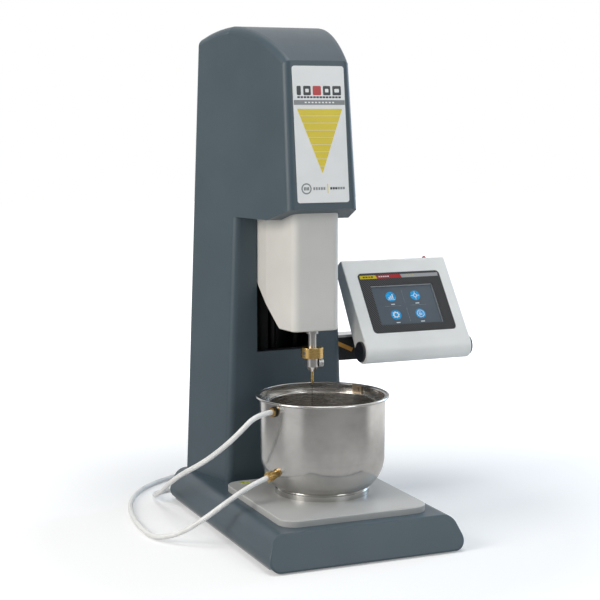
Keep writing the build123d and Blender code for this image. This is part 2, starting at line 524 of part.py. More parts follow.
# Guide bush and the spindle that drops through it
with BuildPart() as guide_bush:
    with BuildSketch(Plane.XY.offset(NOSE_BOTTOM - BUSH_FLANGE)):
        Circle(BUSH_FLANGE_R)
    extrude(amount=BUSH_FLANGE)
    with BuildSketch(Plane.XY.offset(NOSE_BOTTOM)):
        Circle(BUSH_R)
    extrude(amount=BUSH_LENGTH)
    with BuildSketch(Plane.XY.offset(NOSE_BOTTOM - BUSH_FLANGE)):
        Circle(SPINDLE_R + RUN)
    extrude(amount=BUSH_FLANGE + BUSH_LENGTH, mode=Mode.SUBTRACT)
save(guide_bush, "guide_bush")

flange_top = SPINDLE_FLANGE_Z + SPINDLE_FLANGE
with BuildPart() as spindle:
    with BuildSketch(Plane.XZ):
        with BuildLine():
            Polyline((0, COLLAR_LOW - SPIGOT_LENGTH), (SPIGOT_R, COLLAR_LOW - SPIGOT_LENGTH),
                     (SPIGOT_R, COLLAR_LOW), (SPINDLE_R, COLLAR_LOW), (SPINDLE_R, SPINDLE_FLANGE_Z),
                     (SPINDLE_FLANGE_R, SPINDLE_FLANGE_Z), (SPINDLE_FLANGE_R, flange_top),
                     (SPINDLE_ROD_R, flange_top), (SPINDLE_ROD_R, SPINDLE_ROD_TOP),
                     (0, SPINDLE_ROD_TOP), close=True)
        make_face()
    revolve(axis=Axis.Z)
save(spindle, "spindle")

with BuildPart() as weight_collar:
    with BuildSketch(Plane.XY.offset(COLLAR_LOW)):
        Circle(COLLAR_R)
    extrude(amount=COLLAR_HEIGHT)
    fillet(weight_collar.edges().filter_by(GeomType.CIRCLE), COLLAR_EDGE)
    with BuildSketch(Plane.XY.offset(COLLAR_LOW)):
        Circle(SPINDLE_R + RUN)
    extrude(amount=COLLAR_HEIGHT, mode=Mode.SUBTRACT)
save(weight_collar, "weight_collar")

with BuildPart() as needle_chuck:
    with BuildSketch(Plane.XZ):
        with BuildLine():
            Polyline((0, CHUCK_LOW - CHUCK_CONE), (CHUCK_TIP_R, CHUCK_LOW - CHUCK_CONE),
                     (CHUCK_R, CHUCK_LOW), (CHUCK_R, COLLAR_LOW), (0, COLLAR_LOW), close=True)
        make_face()
    revolve(axis=Axis.Z)
    with BuildSketch(Plane.XY.offset(COLLAR_LOW)):
        Circle(SPIGOT_R + RUN)
    extrude(amount=-(SPIGOT_LENGTH + RUN), mode=Mode.SUBTRACT)
    with BuildSketch(Plane.XY.offset(CHUCK_LOW - CHUCK_CONE)):
        Circle(FERRULE_R + RUN)
    extrude(amount=COLLAR_LOW - CHUCK_LOW + CHUCK_CONE, mode=Mode.SUBTRACT)
    with BuildSketch(Plane.YZ):
        with Locations((0, THUMB_Z)):
            Circle(THUMB_STUD_R + RUN)
    extrude(amount=CHUCK_R, mode=Mode.SUBTRACT)
save(needle_chuck, "needle_chuck")

thumb_head_x = CHUCK_R + SEAT
with BuildPart() as thumb_screw:
    with BuildSketch(Plane.YZ.offset(thumb_head_x)):
        with Locations((0, THUMB_Z)):
            Circle(THUMB_R)
            with PolarLocations(THUMB_R, THUMB_FLUTES):
                Circle(THUMB_R * pi / THUMB_FLUTES / 2, mode=Mode.SUBTRACT)
    extrude(amount=THUMB_HEAD)
    with BuildSketch(Plane.YZ.offset(FERRULE_R + SEAT)):
        with Locations((0, THUMB_Z)):
            Circle(THUMB_STUD_R)
    extrude(amount=thumb_head_x - FERRULE_R - SEAT)
save(thumb_screw, "thumb_screw")

ferrule_top = COLLAR_LOW - SPIGOT_LENGTH - SEAT
with BuildPart() as ferrule:
    with BuildSketch(Plane.XZ):
        with BuildLine():
            Polyline((0, FERRULE_LOW), (FERRULE_TIP_R, FERRULE_LOW), (FERRULE_R, FERRULE_LOW + FERRULE_TAPER),
                     (FERRULE_R, ferrule_top), (0, ferrule_top), close=True)
        make_face()
    revolve(axis=Axis.Z)
    with BuildSketch(Plane.XY.offset(FERRULE_LOW)):
        Circle(NEEDLE_R + RUN)
    extrude(amount=NEEDLE_HELD + RUN, mode=Mode.SUBTRACT)
save(ferrule, "ferrule")

with BuildPart() as needle:
    with BuildSketch(Plane.XZ):
        with BuildLine():
            Polyline((0, NEEDLE_TIP_Z), (NEEDLE_R, NEEDLE_TIP_Z + NEEDLE_POINT),
                     (NEEDLE_R, FERRULE_LOW + NEEDLE_HELD), (0, FERRULE_LOW + NEEDLE_HELD), close=True)
        make_face()
    revolve(axis=Axis.Z)
save(needle, "needle")

# Travel scale on the spindle, its reader, and the release magnet with its pin
with BuildPart() as scale_strip:
    with BuildSketch(Plane.XY.offset(flange_top)):
        with Locations((STRIP_X + STRIP_THICK / 2, 0)):
            Rectangle(STRIP_THICK, 2 * STRIP_HALF)
    extrude(amount=STRIP_TOP - flange_top)
save(scale_strip, "scale_strip")

with BuildPart() as scale_reader:
    with BuildSketch(Plane.XY.offset(shelf_top)):
        with Locations((STRIP_X + STRIP_THICK + SEAT, 0)):
            Rectangle(READER_LENGTH, 2 * READER_HALF, align=(Align.MIN, Align.CENTER))
    extrude(amount=READER_HEIGHT)
save(scale_reader, "scale_reader")

with BuildPart() as release_magnet:
    with BuildSketch(Plane.XY.offset(shelf_top)):
        with Locations((0, MAGNET_FRONT)):
            Rectangle(2 * MAGNET_HALF, MAGNET_LENGTH, align=(Align.CENTER, Align.MIN))
    extrude(amount=MAGNET_HEIGHT)
    with BuildSketch(Plane.XZ.offset(-MAGNET_FRONT)):
        with Locations((0, MAGNET_Z)):
            Circle(PIN_R + RUN)
    extrude(amount=-MAGNET_BORE, mode=Mode.SUBTRACT)
save(release_magnet, "release_magnet")

with BuildPart() as release_pin:
    with BuildSketch(Plane.XZ.offset(-(SPINDLE_ROD_R + SEAT))):
        with Locations((0, MAGNET_Z)):
            Circle(PIN_R)
    extrude(amount=-PIN_LENGTH)
save(release_pin, "release_pin")


# Bath: a spun jacket on a foot ring, with an inner cup hung from its ledge
bath_axis = Axis((BATH_X, BATH_Y, 0), (0, 0, 1))
bath_plane = Plane(origin=(BATH_X, BATH_Y, 0), x_dir=(1, 0, 0), z_dir=(0, -1, 0))
bath_floor = platform_top + BATH_FOOT_HEIGHT
wall_top = BATH_RIM_Z - BATH_BEAD_R


def bath_form(grow):
    """Solid outer shape of the bath wall, grown outwards."""
    with BuildPart() as form:
        with BuildSketch(bath_plane):
            with BuildLine():
                Line((0, bath_floor), (BATH_FOOT_R + grow, bath_floor))
                ThreePointArc((BATH_FOOT_R + grow, bath_floor), (BOWL_MID_R + grow, BOWL_MID_Z),
                              (BATH_R_KNEE + grow, BATH_KNEE_Z))
                Polyline((BATH_R_KNEE + grow, BATH_KNEE_Z), (BATH_R_TOP + grow, wall_top),
                         (0, wall_top), (0, bath_floor))
            make_face()
        revolve(axis=bath_axis)
    return form.part


def outward(angle, tilt):
    """Direction away from the bath, angle from the front towards the left, tilt downwards."""
    a, t = radians(angle), radians(tilt)
    return Vector(-sin(a) * cos(t), -cos(a) * cos(t), -sin(t))


bath_centre = Vector(BATH_X, BATH_Y, 0)
port_dir = outward(PORT_ANGLE, 0)
port_wall = bath_centre + port_dir * BATH_R_TOP + Vector(0, 0, PORT_Z)
lower_dir = outward(LOWER_ANGLE, LOWER_TILT)
lower_wall = bath_centre + outward(LOWER_ANGLE, 0) * BOWL_MID_R + Vector(0, 0, LOWER_Z)
bath_outside = bath_form(RUN)

with BuildPart() as bath_vessel:
    add(bath_form(0))
    offset(amount=-BATH_SKIN, openings=bath_vessel.faces().sort_by(Axis.Z)[-1])
    with BuildSketch(bath_plane):
        with BuildLine():
            Polyline((BATH_R_TOP - BATH_SKIN, wall_top - BATH_SKIN), (BATH_R_TOP - BATH_SKIN, wall_top),
                     (BATH_RIM_R - BATH_BEAD_R, wall_top + BATH_SKIN),
                     (BATH_RIM_R - BATH_BEAD_R, wall_top), (BATH_R_TOP, wall_top - BATH_SKIN), close=True)
        make_face()
        with Locations((BATH_RIM_R - BATH_BEAD_R, BATH_RIM_Z - BATH_BEAD_R)):
            Circle(BATH_BEAD_R)
    revolve(axis=bath_axis)
    ring_inner = BATH_FOOT_R - 2 * BATH_SKIN
    with BuildSketch(bath_plane):
        with BuildLine():
            Polyline((ring_inner, platform_top), (BATH_FOOT_R, platform_top),
                     (BATH_FOOT_R, bath_floor - 2 * BATH_FOOT_GROOVE),
                     (BATH_FOOT_R - BATH_FOOT_GROOVE, bath_floor - BATH_FOOT_GROOVE),
                     (BATH_FOOT_R - BATH_FOOT_GROOVE, bath_floor + BATH_SKIN),
                     (ring_inner, bath_floor + BATH_SKIN), close=True)
        make_face()
    revolve(axis=bath_axis)
    with BuildSketch(Plane(origin=port_wall, z_dir=port_dir)):
        Circle(PORT_STEM_R + RUN)
    extrude(amount=2 * BATH_SKIN, both=True, mode=Mode.SUBTRACT)
    with BuildSketch(Plane(origin=lower_wall, z_dir=lower_dir)):
        Circle(PORT_STEM_R + RUN)
    extrude(amount=KNURL_NECK, both=True, mode=Mode.SUBTRACT)
save(bath_vessel, "bath_vessel")

ledge_r = BATH_R_KNEE - BATH_SKIN - RUN
ledge_r += (BATH_R_TOP - BATH_R_KNEE) * (LEDGE_Z - BATH_KNEE_Z) / (wall_top - BATH_KNEE_Z)
with BuildPart() as inner_cup:
    with BuildSketch(bath_plane):
        with BuildLine():
            Polyline((0, CUP_FLOOR_Z), (CUP_R, CUP_FLOOR_Z), (CUP_R, CUP_LIP_Z), (0, CUP_LIP_Z), close=True)
        make_face()
    revolve(axis=bath_axis)
    fillet(inner_cup.edges().sort_by(Axis.Z)[0], CUP_ROUND)
    offset(amount=-BATH_SKIN, openings=inner_cup.faces().sort_by(Axis.Z)[-1])
    with BuildSketch(bath_plane):
        with Locations((CUP_R, CUP_LIP_Z - CUP_LIP_R / 2)):
            Circle(CUP_LIP_R)
        with Locations((CUP_R - BATH_SKIN / 2, LEDGE_Z)):
            Rectangle(ledge_r - CUP_R + BATH_SKIN / 2, LEDGE_THICK, align=(Align.MIN, Align.MIN))
    revolve(axis=bath_axis)
save(inner_cup, "inner_cup")

# Clip standing on the ledge against the jacket wall, held by a round screw
clip_dir = Vector(cos(radians(CLIP_ANGLE)), sin(radians(CLIP_ANGLE)), 0)
clip_reach = sqrt(ledge_r ** 2 - (CLIP_WIDTH / 2) ** 2) - RUN
clip_low = LEDGE_Z + LEDGE_THICK
with BuildPart() as bath_clip:
    clip_face = Plane(origin=bath_centre + clip_dir * (clip_reach - CLIP_THICK) + Vector(0, 0, clip_low),
                      x_dir=(-clip_dir.Y, clip_dir.X, 0), z_dir=clip_dir)
    with BuildSketch(clip_face):
        Rectangle(CLIP_WIDTH, CLIP_HEIGHT, align=(Align.CENTER, Align.MIN))
    extrude(amount=CLIP_THICK)
    with BuildSketch(clip_face):
        with Locations((0, CLIP_HEIGHT / 2)):
            Circle(CLIP_SCREW_R)
    extrude(amount=-CLIP_THICK)
save(bath_clip, "bath_clip")

# Water fittings: a sealed port below the rim and a knurled union on the bowl
seal_face = port_wall + port_dir * SEAL_THICK
port_face = seal_face + port_dir * PORT_LENGTH
with BuildPart() as port_seal:
    with BuildSketch(Plane(origin=seal_face, z_dir=port_dir)):
        Circle(SEAL_R)
        Circle(PORT_STEM_R + RUN, mode=Mode.SUBTRACT)
    extrude(amount=-(SEAL_THICK + BATH_SKIN))
    add(bath_outside, mode=Mode.SUBTRACT)
save(port_seal, "port_seal")

with BuildPart() as upper_port:
    with BuildSketch(Plane(origin=seal_face, z_dir=port_dir)):
        Circle(PORT_R)
    extrude(amount=PORT_LENGTH)
    with BuildSketch(Plane(origin=seal_face, z_dir=port_dir)):
        Circle(PORT_STEM_R)
    extrude(amount=-(SEAL_THICK + BATH_SKIN))
save(upper_port, "upper_port")

neck_face = lower_wall + lower_dir * (KNURL_NECK + 2 * BATH_SKIN)
lower_face = neck_face + lower_dir * KNURL_LENGTH
with BuildPart() as lower_fitting:
    with BuildSketch(Plane(origin=neck_face, z_dir=lower_dir)):
        Circle(KNURL_NECK_R)
    extrude(amount=-2 * KNURL_NECK)
    add(bath_outside, mode=Mode.SUBTRACT)
    with BuildSketch(Plane(origin=neck_face, z_dir=lower_dir)):
        Circle(KNURL_R)
        with PolarLocations(KNURL_R, KNURL_FLUTES):
            Circle(KNURL_R * pi / KNURL_FLUTES / 2, mode=Mode.SUBTRACT)
    extrude(amount=KNURL_LENGTH)
    with BuildSketch(Plane(origin=neck_face, z_dir=lower_dir)):
        Circle(PORT_STEM_R)
    extrude(amount=-2 * KNURL_NECK)
save(lower_fitting, "lower_fitting")


# Display: a wedge-shaped shell with a round lower edge that is also its hinge
tilt_rad = radians(TILT)
face_plane = Plane(origin=(SHELL_LEFT, PIVOT_Y, PIVOT_Z), x_dir=(1, 0, 0),
                   z_dir=(0, -cos(tilt_rad), sin(tilt_rad)))
side_view = Plane(origin=(SHELL_LEFT, PIVOT_Y, PIVOT_Z), x_dir=(0, sin(tilt_rad), cos(tilt_rad)),
                  z_dir=(1, 0, 0))


def shell_form(inset):
    """Wedge body of the display, inset all round."""
    with BuildPart() as form:
        with BuildSketch(side_view.offset(inset)) as wedge:
            with BuildLine():
                Polyline((0, SHELL_ROUND), (SHELL_TOP, SHELL_ROUND), (SHELL_TOP, SHELL_TOP_BACK),
                         (0, -SHELL_ROUND))
                ThreePointArc((0, -SHELL_ROUND), (-SHELL_ROUND, 0), (0, SHELL_ROUND))
            make_face()
            fillet(wedge.vertices().group_by(Axis.X)[-1], SHELL_EDGE + SHELL_WALL)
            if inset:
                offset(amount=-inset, kind=Kind.ARC, mode=Mode.REPLACE)
        extrude(amount=SHELL_WIDTH - 2 * inset)
        if not inset:
            fillet(form.faces().filter_by(Axis.X).edges(), SHELL_EDGE)
    return form.part


shell_outer = shell_form(0)
shell_inner = shell_form(SHELL_WALL)
split_plane = face_plane.offset(SHELL_SPLIT)
lug_places = (LUG_LEFT, LUG_RIGHT)
bezel_middle = (BEZEL_LEFT + BEZEL_WIDTH / 2, BEZEL_LOW + BEZEL_HEIGHT / 2)
screen_middle = (SCREEN_LEFT + SCREEN_WIDTH / 2, SCREEN_LOW + SCREEN_HEIGHT / 2)
panel_top = SHELL_ROUND - SHELL_WALL

with BuildPart() as display_front_shell:
    add(shell_outer)
    add(shell_inner, mode=Mode.SUBTRACT)
    split(bisect_by=split_plane, keep=Keep.TOP)
    with BuildSketch(face_plane.offset(SHELL_ROUND)):
        with Locations(bezel_middle):
            RectangleRounded(BEZEL_WIDTH + 2 * SEAT, BEZEL_HEIGHT + 2 * SEAT, BEZEL_CORNER + SEAT)
    extrude(amount=-BEZEL_SUNK, mode=Mode.SUBTRACT)
    with BuildSketch(face_plane.offset(SHELL_ROUND)):
        with Locations(screen_middle):
            Rectangle(SCREEN_WIDTH, SCREEN_HEIGHT)
    extrude(amount=-2 * SHELL_WALL, mode=Mode.SUBTRACT)
    with BuildSketch(side_view):
        Circle(SHAFT_R + RUN)
    extrude(amount=SHELL_WIDTH, mode=Mode.SUBTRACT)
save(display_front_shell, "display_front_shell")


def up_plane(b):
    """Plane across the stylus at height b, facing up the display."""
    return Plane(origin=face_plane.from_local_coords((STYLUS_A, b, STYLUS_C)),
                 x_dir=(1, 0, 0), z_dir=face_plane.y_dir)


stylus_low = SHELL_TOP + STYLUS_OUT - STYLUS_LENGTH
with BuildPart() as display_rear_shell:
    add(shell_outer)
    add(shell_inner, mode=Mode.SUBTRACT)
    split(bisect_by=split_plane, keep=Keep.BOTTOM)
    with BuildSketch(up_plane(stylus_low - SHELL_WALL)):
        Circle(STYLUS_R + SEAT + STYLUS_TUBE_WALL)
    extrude(amount=SHELL_TOP - stylus_low)
    with BuildSketch(up_plane(stylus_low - SEAT)):
        Circle(STYLUS_R + SEAT)
    extrude(amount=STYLUS_LENGTH, mode=Mode.SUBTRACT)
    with BuildSketch(side_view):
        Circle(SHAFT_R + RUN)
    extrude(amount=SHELL_WIDTH, mode=Mode.SUBTRACT)
    for lug_place in lug_places:
        with BuildSketch(side_view.offset(lug_place - LUG_WIDTH / 2 - SLIDE)):
            for lean in (TILT - TILT_FORWARD, TILT - TILT_FORWARD / 2, TILT + TILT_BACK):
                with Locations(Location((0, 0, 0), (0, 0, lean - 90))):
                    Rectangle(2 * SHELL_ROUND, 2 * (LUG_R + SLIDE), align=(Align.MIN, Align.CENTER))
        extrude(amount=LUG_WIDTH + 2 * SLIDE, mode=Mode.SUBTRACT)
save(display_rear_shell, "display_rear_shell")

with BuildPart() as display_bezel:
    with BuildSketch(face_plane.offset(SHELL_ROUND - BEZEL_SUNK)):
        with Locations(bezel_middle):
            RectangleRounded(BEZEL_WIDTH, BEZEL_HEIGHT, BEZEL_CORNER)
        with Locations(screen_middle):
            Rectangle(SCREEN_WIDTH, SCREEN_HEIGHT, mode=Mode.SUBTRACT)
    extrude(amount=BEZEL_THICK)
save(display_bezel, "display_bezel")

with BuildPart() as lcd_panel:
    with BuildSketch(face_plane.offset(panel_top)):
        with Locations(screen_middle):
            Rectangle(SCREEN_WIDTH + 2 * PANEL_BORDER, SCREEN_HEIGHT + 2 * PANEL_BORDER)
    extrude(amount=-PANEL_THICK)
save(lcd_panel, "lcd_panel")

with BuildPart() as pivot_shaft:
    with BuildSketch(side_view):
        Circle(SHAFT_R)
    extrude(amount=SHELL_WIDTH)
save(pivot_shaft, "pivot_shaft")

for cap_name, cap_left in (("hinge_cap_left", -CAP_THICK), ("hinge_cap_right", SHELL_WIDTH)):
    with BuildPart() as hinge_cap:
        with BuildSketch(side_view.offset(cap_left)):
            Circle(CAP_R)
        extrude(amount=CAP_THICK)
        rim = hinge_cap.edges().sort_by(Axis.X)[0 if cap_left < 0 else -1]
        fillet(rim, CAP_THICK / 3)
    save(hinge_cap, cap_name)

with BuildPart() as stylus:
    with BuildSketch(up_plane(stylus_low)):
        Circle(STYLUS_R)
    extrude(amount=STYLUS_LENGTH)
    fillet(stylus.edges().filter_by(GeomType.CIRCLE).sort_by(Axis.Z)[-1], STYLUS_R / 2)
save(stylus, "stylus")

# Arm from the column's side, a channel open behind, with the two hinge lugs
arm_body_top = ARM_HIGH - ARM_TOP_PLATE
with BuildPart() as display_arm:
    with BuildSketch(Plane.XY.offset(ARM_LOW)):
        with Locations((SPINE_HALF, ARM_FRONT)):
            Rectangle(ARM_RIGHT - SPINE_HALF, ARM_DEPTH, align=(Align.MIN, Align.MIN))
    extrude(amount=arm_body_top - ARM_LOW)
    with BuildSketch(Plane.XY.offset(ARM_LOW + ARM_WALL)):
        with Locations((SPINE_HALF, ARM_FRONT + ARM_WALL)):
            Rectangle(ARM_RIGHT - SPINE_HALF - ARM_WALL, ARM_DEPTH, align=(Align.MIN, Align.MIN))
    extrude(amount=arm_body_top - ARM_LOW - 2 * ARM_WALL, mode=Mode.SUBTRACT)
    for lug_place in lug_places:
        with BuildSketch(Plane.YZ.offset(SHELL_LEFT + lug_place - LUG_WIDTH / 2)):
            with Locations((PIVOT_Y, PIVOT_Z)):
                Circle(LUG_R)
                Rectangle(ARM_FRONT - PIVOT_Y, 2 * LUG_R, align=(Align.MIN, Align.CENTER))
                Circle(SHAFT_R + RUN, mode=Mode.SUBTRACT)
        extrude(amount=LUG_WIDTH)
    split(bisect_by=side_plane(1, 0), keep=Keep.TOP)
save(display_arm, "display_arm")

with BuildPart() as arm_top_plate:
    with BuildSketch(Plane.XY.offset(arm_body_top)):
        with Locations((SPINE_HALF, ARM_FRONT)):
            Rectangle(ARM_RIGHT - SPINE_HALF, ARM_DEPTH, align=(Align.MIN, Align.MIN))
    extrude(amount=ARM_TOP_PLATE)
    split(bisect_by=side_plane(1, 0), keep=Keep.TOP)
save(arm_top_plate, "arm_top_plate")

# Flat cable lying on the arm's front face, from the column to the hinge
ribbon_dx = RIBBON_END_X - RIBBON_START_X
ribbon_dz = RIBBON_END_Z - RIBBON_START_Z
with BuildPart() as display_ribbon:
    with BuildSketch(Plane.XZ.offset(-ARM_FRONT)):
        with Locations(Location((RIBBON_START_X, RIBBON_START_Z, 0),
                                (0, 0, degrees(atan2(ribbon_dz, ribbon_dx))))):
            Rectangle(sqrt(ribbon_dx ** 2 + ribbon_dz ** 2), RIBBON_WIDTH,
                      align=(Align.MIN, Align.CENTER))
    extrude(amount=RIBBON_THICK)
save(display_ribbon, "display_ribbon")

# Power inlet module in the back of the base, with the rocker of its switch
inlet_back = BASE_BACK + INLET_FLANGE_THICK
socket_x = INLET_X - (INLET_WIDTH - SOCKET_WIDTH) / 2 + INLET_FLANGE
rocker_x = INLET_X + (INLET_WIDTH - ROCKER_WIDTH) / 2 - INLET_FLANGE
rocker_y = inlet_back - ROCKER_R - SEAT
with BuildPart() as power_inlet:
    with BuildSketch(Plane.XZ.offset(-inlet_back)):
        with Locations((INLET_X, INLET_Z)):
            RectangleRounded(INLET_WIDTH + 2 * INLET_FLANGE, INLET_HEIGHT + 2 * INLET_FLANGE, INLET_FLANGE)
    extrude(amount=INLET_FLANGE_THICK)
    with BuildSketch(Plane.XZ.offset(-BASE_BACK)):
        with Locations((INLET_X, INLET_Z)):
            Rectangle(INLET_WIDTH, INLET_HEIGHT)
    extrude(amount=INLET_DEPTH)
    with BuildSketch(Plane.XZ.offset(-inlet_back)) as socket:
        with Locations((socket_x, INLET_Z)):
            Rectangle(SOCKET_WIDTH, SOCKET_HEIGHT)
        chamfer(socket.vertices().group_by(Axis.Y)[-1], SOCKET_HEIGHT / 4)
    extrude(amount=SOCKET_DEPTH, mode=Mode.SUBTRACT)
    with BuildSketch(Plane.XZ.offset(-(inlet_back - SOCKET_DEPTH))):
        with Locations((socket_x - PRONG_SPREAD, INLET_Z - PRONG_RAISE),
                       (socket_x + PRONG_SPREAD, INLET_Z - PRONG_RAISE),
                       (socket_x, INLET_Z + PRONG_RAISE)):
            Rectangle(PRONG_WIDTH, PRONG_THICK)
    extrude(amount=-PRONG_LENGTH)
    with BuildSketch(Plane.XZ.offset(-inlet_back)):
        with Locations((rocker_x, INLET_Z)):
            Rectangle(ROCKER_WIDTH + 2 * SEAT, ROCKER_HEIGHT + 2 * SEAT)
    extrude(amount=2 * ROCKER_R + SEAT, mode=Mode.SUBTRACT)
save(power_inlet, "power_inlet")

with BuildPart() as switch_rocker:
    with BuildSketch(Plane.XY.offset(INLET_Z - ROCKER_HEIGHT / 2)):
        with Locations((rocker_x, rocker_y)):
            Circle(ROCKER_R)
        with BuildLine():
            Polyline((rocker_x - ROCKER_R, rocker_y - ROCKER_SAG), (rocker_x + ROCKER_R, rocker_y - ROCKER_SAG),
                     (rocker_x + ROCKER_R, rocker_y + ROCKER_R - ROCKER_SAG),
                     (rocker_x, rocker_y + ROCKER_R - 2 * ROCKER_SAG),
                     (rocker_x - ROCKER_R, rocker_y + ROCKER_R), close=True)
        make_face(mode=Mode.INTERSECT)
    extrude(amount=ROCKER_HEIGHT)
save(switch_rocker, "switch_rocker")


# Hoses: straight runs joined by arcs, each lying on the table behind as a neat coil
upper_points = [
    port_face,
    port_face + port_dir * FIRST_RUN,
    Vector(-107, -46, 130),
    Vector(-122, -27, 108),
    Vector(-132, 12, 84),
    Vector(-137, 68, 60),
    Vector(-136, 122, 35),
    Vector(-136, 168, 10),
    Vector(-131, 200, HOSE_R),
    Vector(-112, 214, HOSE_R),
    Vector(COIL_UPPER_X - COIL_MID_R - UPPER_LEAD_IN, COIL_Y - COIL_MID_R, HOSE_R),
    Vector(COIL_UPPER_X - COIL_MID_R, COIL_Y - COIL_MID_R, HOSE_R),
]
lower_points = [
    lower_face,
    lower_face + lower_dir * FIRST_RUN,
    Vector(-120, -43, 53),
    Vector(-146, -31, 31),
    Vector(-168, -12, 12),
    Vector(-188, 14, HOSE_R),
    Vector(-190, 64, HOSE_R),
    Vector(-182, 130, HOSE_R),
    Vector(-164, 188, HOSE_R),
    Vector(-134, 236, HOSE_R),
    Vector(-90, 272, HOSE_R),
    Vector(-40, 296, HOSE_R),
    Vector(-8, 296, HOSE_R),
    Vector(COIL_LOWER_X - COIL_MID_R - LOWER_LEAD_IN, COIL_Y + COIL_MID_R, HOSE_R),
    Vector(COIL_LOWER_X - COIL_MID_R, COIL_Y + COIL_MID_R, HOSE_R),
]


def bend_radii(points):
    """Arc radius at each inner point, from its shorter run and its turn."""
    radii = []
    for before, here, after in zip(points, points[1:], points[2:]):
        half_turn = radians((here - before).get_angle(after - here)) / 2
        radii.append(0.45 * min((here - before).length, (after - here).length) / tan(half_turn))
    return radii


for hose_name, points in (("hose_upper", upper_points), ("hose_lower", lower_points)):
    print(hose_name, "bend radii", [round(r, 1) for r in bend_radii(points)])
    with BuildPart() as hose:
        with BuildLine() as route:
            FilletPolyline(*points, radius=bend_radii(points))
        with BuildSketch(Plane(origin=points[0], z_dir=points[1] - points[0])):
            Circle(HOSE_R)
        sweep(path=route.wires()[0])
    drawn = hose.part.volume
    print(hose_name, "volume ratio", round(drawn / (pi * HOSE_R ** 2 * route.wires()[0].length), 4))
    save(hose, hose_name)

# Each coil as its outer shape, with its lead-in and the short tail to the end fitting
upper_tail = Vector(COIL_UPPER_X, COIL_Y - COIL_MID_R, HOSE_R)
lower_tail = Vector(COIL_LOWER_X + COIL_MID_R, COIL_Y, HOSE_R)
for coil_name, coil_x, lead_y, tail, tail_dir in (
    ("upper", COIL_UPPER_X, COIL_Y - COIL_MID_R, upper_tail, Vector(1, 0, 0)),
    ("lower", COIL_LOWER_X, COIL_Y + COIL_MID_R, lower_tail, Vector(0, -1, 0)),
):
    with BuildPart() as coil:
        with BuildSketch(Plane.XY):
            with Locations((coil_x, COIL_Y)):
                Circle(COIL_MID_R + COIL_HALF_WIDTH)
                Circle(COIL_MID_R - COIL_HALF_WIDTH, mode=Mode.SUBTRACT)
        extrude(amount=COIL_HEIGHT)
        with BuildSketch(Plane.YZ.offset(coil_x)):
            with Locations((lead_y, HOSE_R)):
                Circle(HOSE_R)
        extrude(amount=-COIL_MID_R)
        with BuildSketch(Plane(origin=tail, z_dir=tail_dir)):
            Circle(HOSE_R)
        extrude(amount=COIL_MID_R)
    save(coil, f"hose_coil_{coil_name}")
    union_start = tail + tail_dir * COIL_MID_R + Vector(0, 0, END_FITTING_R - HOSE_R)
    with BuildPart() as fitting:
        with BuildSketch(Plane(origin=union_start, z_dir=tail_dir)):
            Circle(END_FITTING_R)
        extrude(amount=END_FITTING_LENGTH)
    save(fitting, f"hose_union_{coil_name}")
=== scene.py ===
"""Looks of the bench penetrometer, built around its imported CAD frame. Metres throughout."""

import bpy
import bmesh
import math
from mathutils import Matrix, Vector


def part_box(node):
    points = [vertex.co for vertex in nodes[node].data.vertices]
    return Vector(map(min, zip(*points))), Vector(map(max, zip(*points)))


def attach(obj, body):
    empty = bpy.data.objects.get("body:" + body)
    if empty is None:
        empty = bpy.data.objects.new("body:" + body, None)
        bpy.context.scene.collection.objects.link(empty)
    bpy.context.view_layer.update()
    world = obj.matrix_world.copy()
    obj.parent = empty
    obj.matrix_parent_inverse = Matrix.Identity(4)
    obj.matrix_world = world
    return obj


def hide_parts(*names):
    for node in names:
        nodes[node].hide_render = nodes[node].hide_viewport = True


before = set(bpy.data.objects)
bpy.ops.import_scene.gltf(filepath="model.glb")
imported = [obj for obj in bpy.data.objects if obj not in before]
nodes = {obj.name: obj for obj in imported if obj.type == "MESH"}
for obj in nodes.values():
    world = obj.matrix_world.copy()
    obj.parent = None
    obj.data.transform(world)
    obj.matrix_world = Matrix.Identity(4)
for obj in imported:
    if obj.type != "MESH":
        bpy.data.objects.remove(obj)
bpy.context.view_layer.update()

MM = 0.001

# Camera of the photograph: a square frame, no shift
CAMERA_AT = Vector((-0.6736, -1.5442, 0.4824))
CAMERA_LOOKS_AT = Vector((-0.0366, -0.0500, 0.2745))
SENSOR_MM = 36.0
FOCAL_PX = 1478.6
FRAME_PX = 600

camera_data = bpy.data.cameras.new("camera")
camera_data.sensor_width = SENSOR_MM
camera_data.lens = SENSOR_MM * FOCAL_PX / FRAME_PX
camera_data.clip_end = 20
camera = bpy.data.objects.new("camera", camera_data)
bpy.context.scene.collection.objects.link(camera)
camera.location = CAMERA_AT
camera.rotation_euler = (CAMERA_LOOKS_AT - CAMERA_AT).to_track_quat("-Z", "Y").to_euler()
bpy.context.scene.camera = camera
bpy.context.scene.view_settings.view_transform = "Standard"


# Light levels
ROOM_LEVEL = 0.30
FLOOR_GLOW = 0.25


# Materials
def shader(name, colour, rough, metal=0.0, coat=0.0):
    """A material with its Principled shader, object coordinates and the handles to wire more."""
    mat = bpy.data.materials.new(name)
    mat.use_nodes = True
    tree = mat.node_tree
    bsdf = tree.nodes["Principled BSDF"]
    bsdf.inputs["Base Color"].default_value = (*colour, 1)
    bsdf.inputs["Roughness"].default_value = rough
    bsdf.inputs["Metallic"].default_value = metal
    bsdf.inputs["Coat Weight"].default_value = coat
    coords = tree.nodes.new("ShaderNodeTexCoord")
    return mat, tree, bsdf, coords.outputs["Object"]


def stretched(tree, coords, stretch):
    """Object coordinates scaled along each axis."""
    mapping = tree.nodes.new("ShaderNodeMapping")
    mapping.inputs["Scale"].default_value = stretch
    tree.links.new(coords, mapping.inputs["Vector"])
    return mapping.outputs["Vector"]


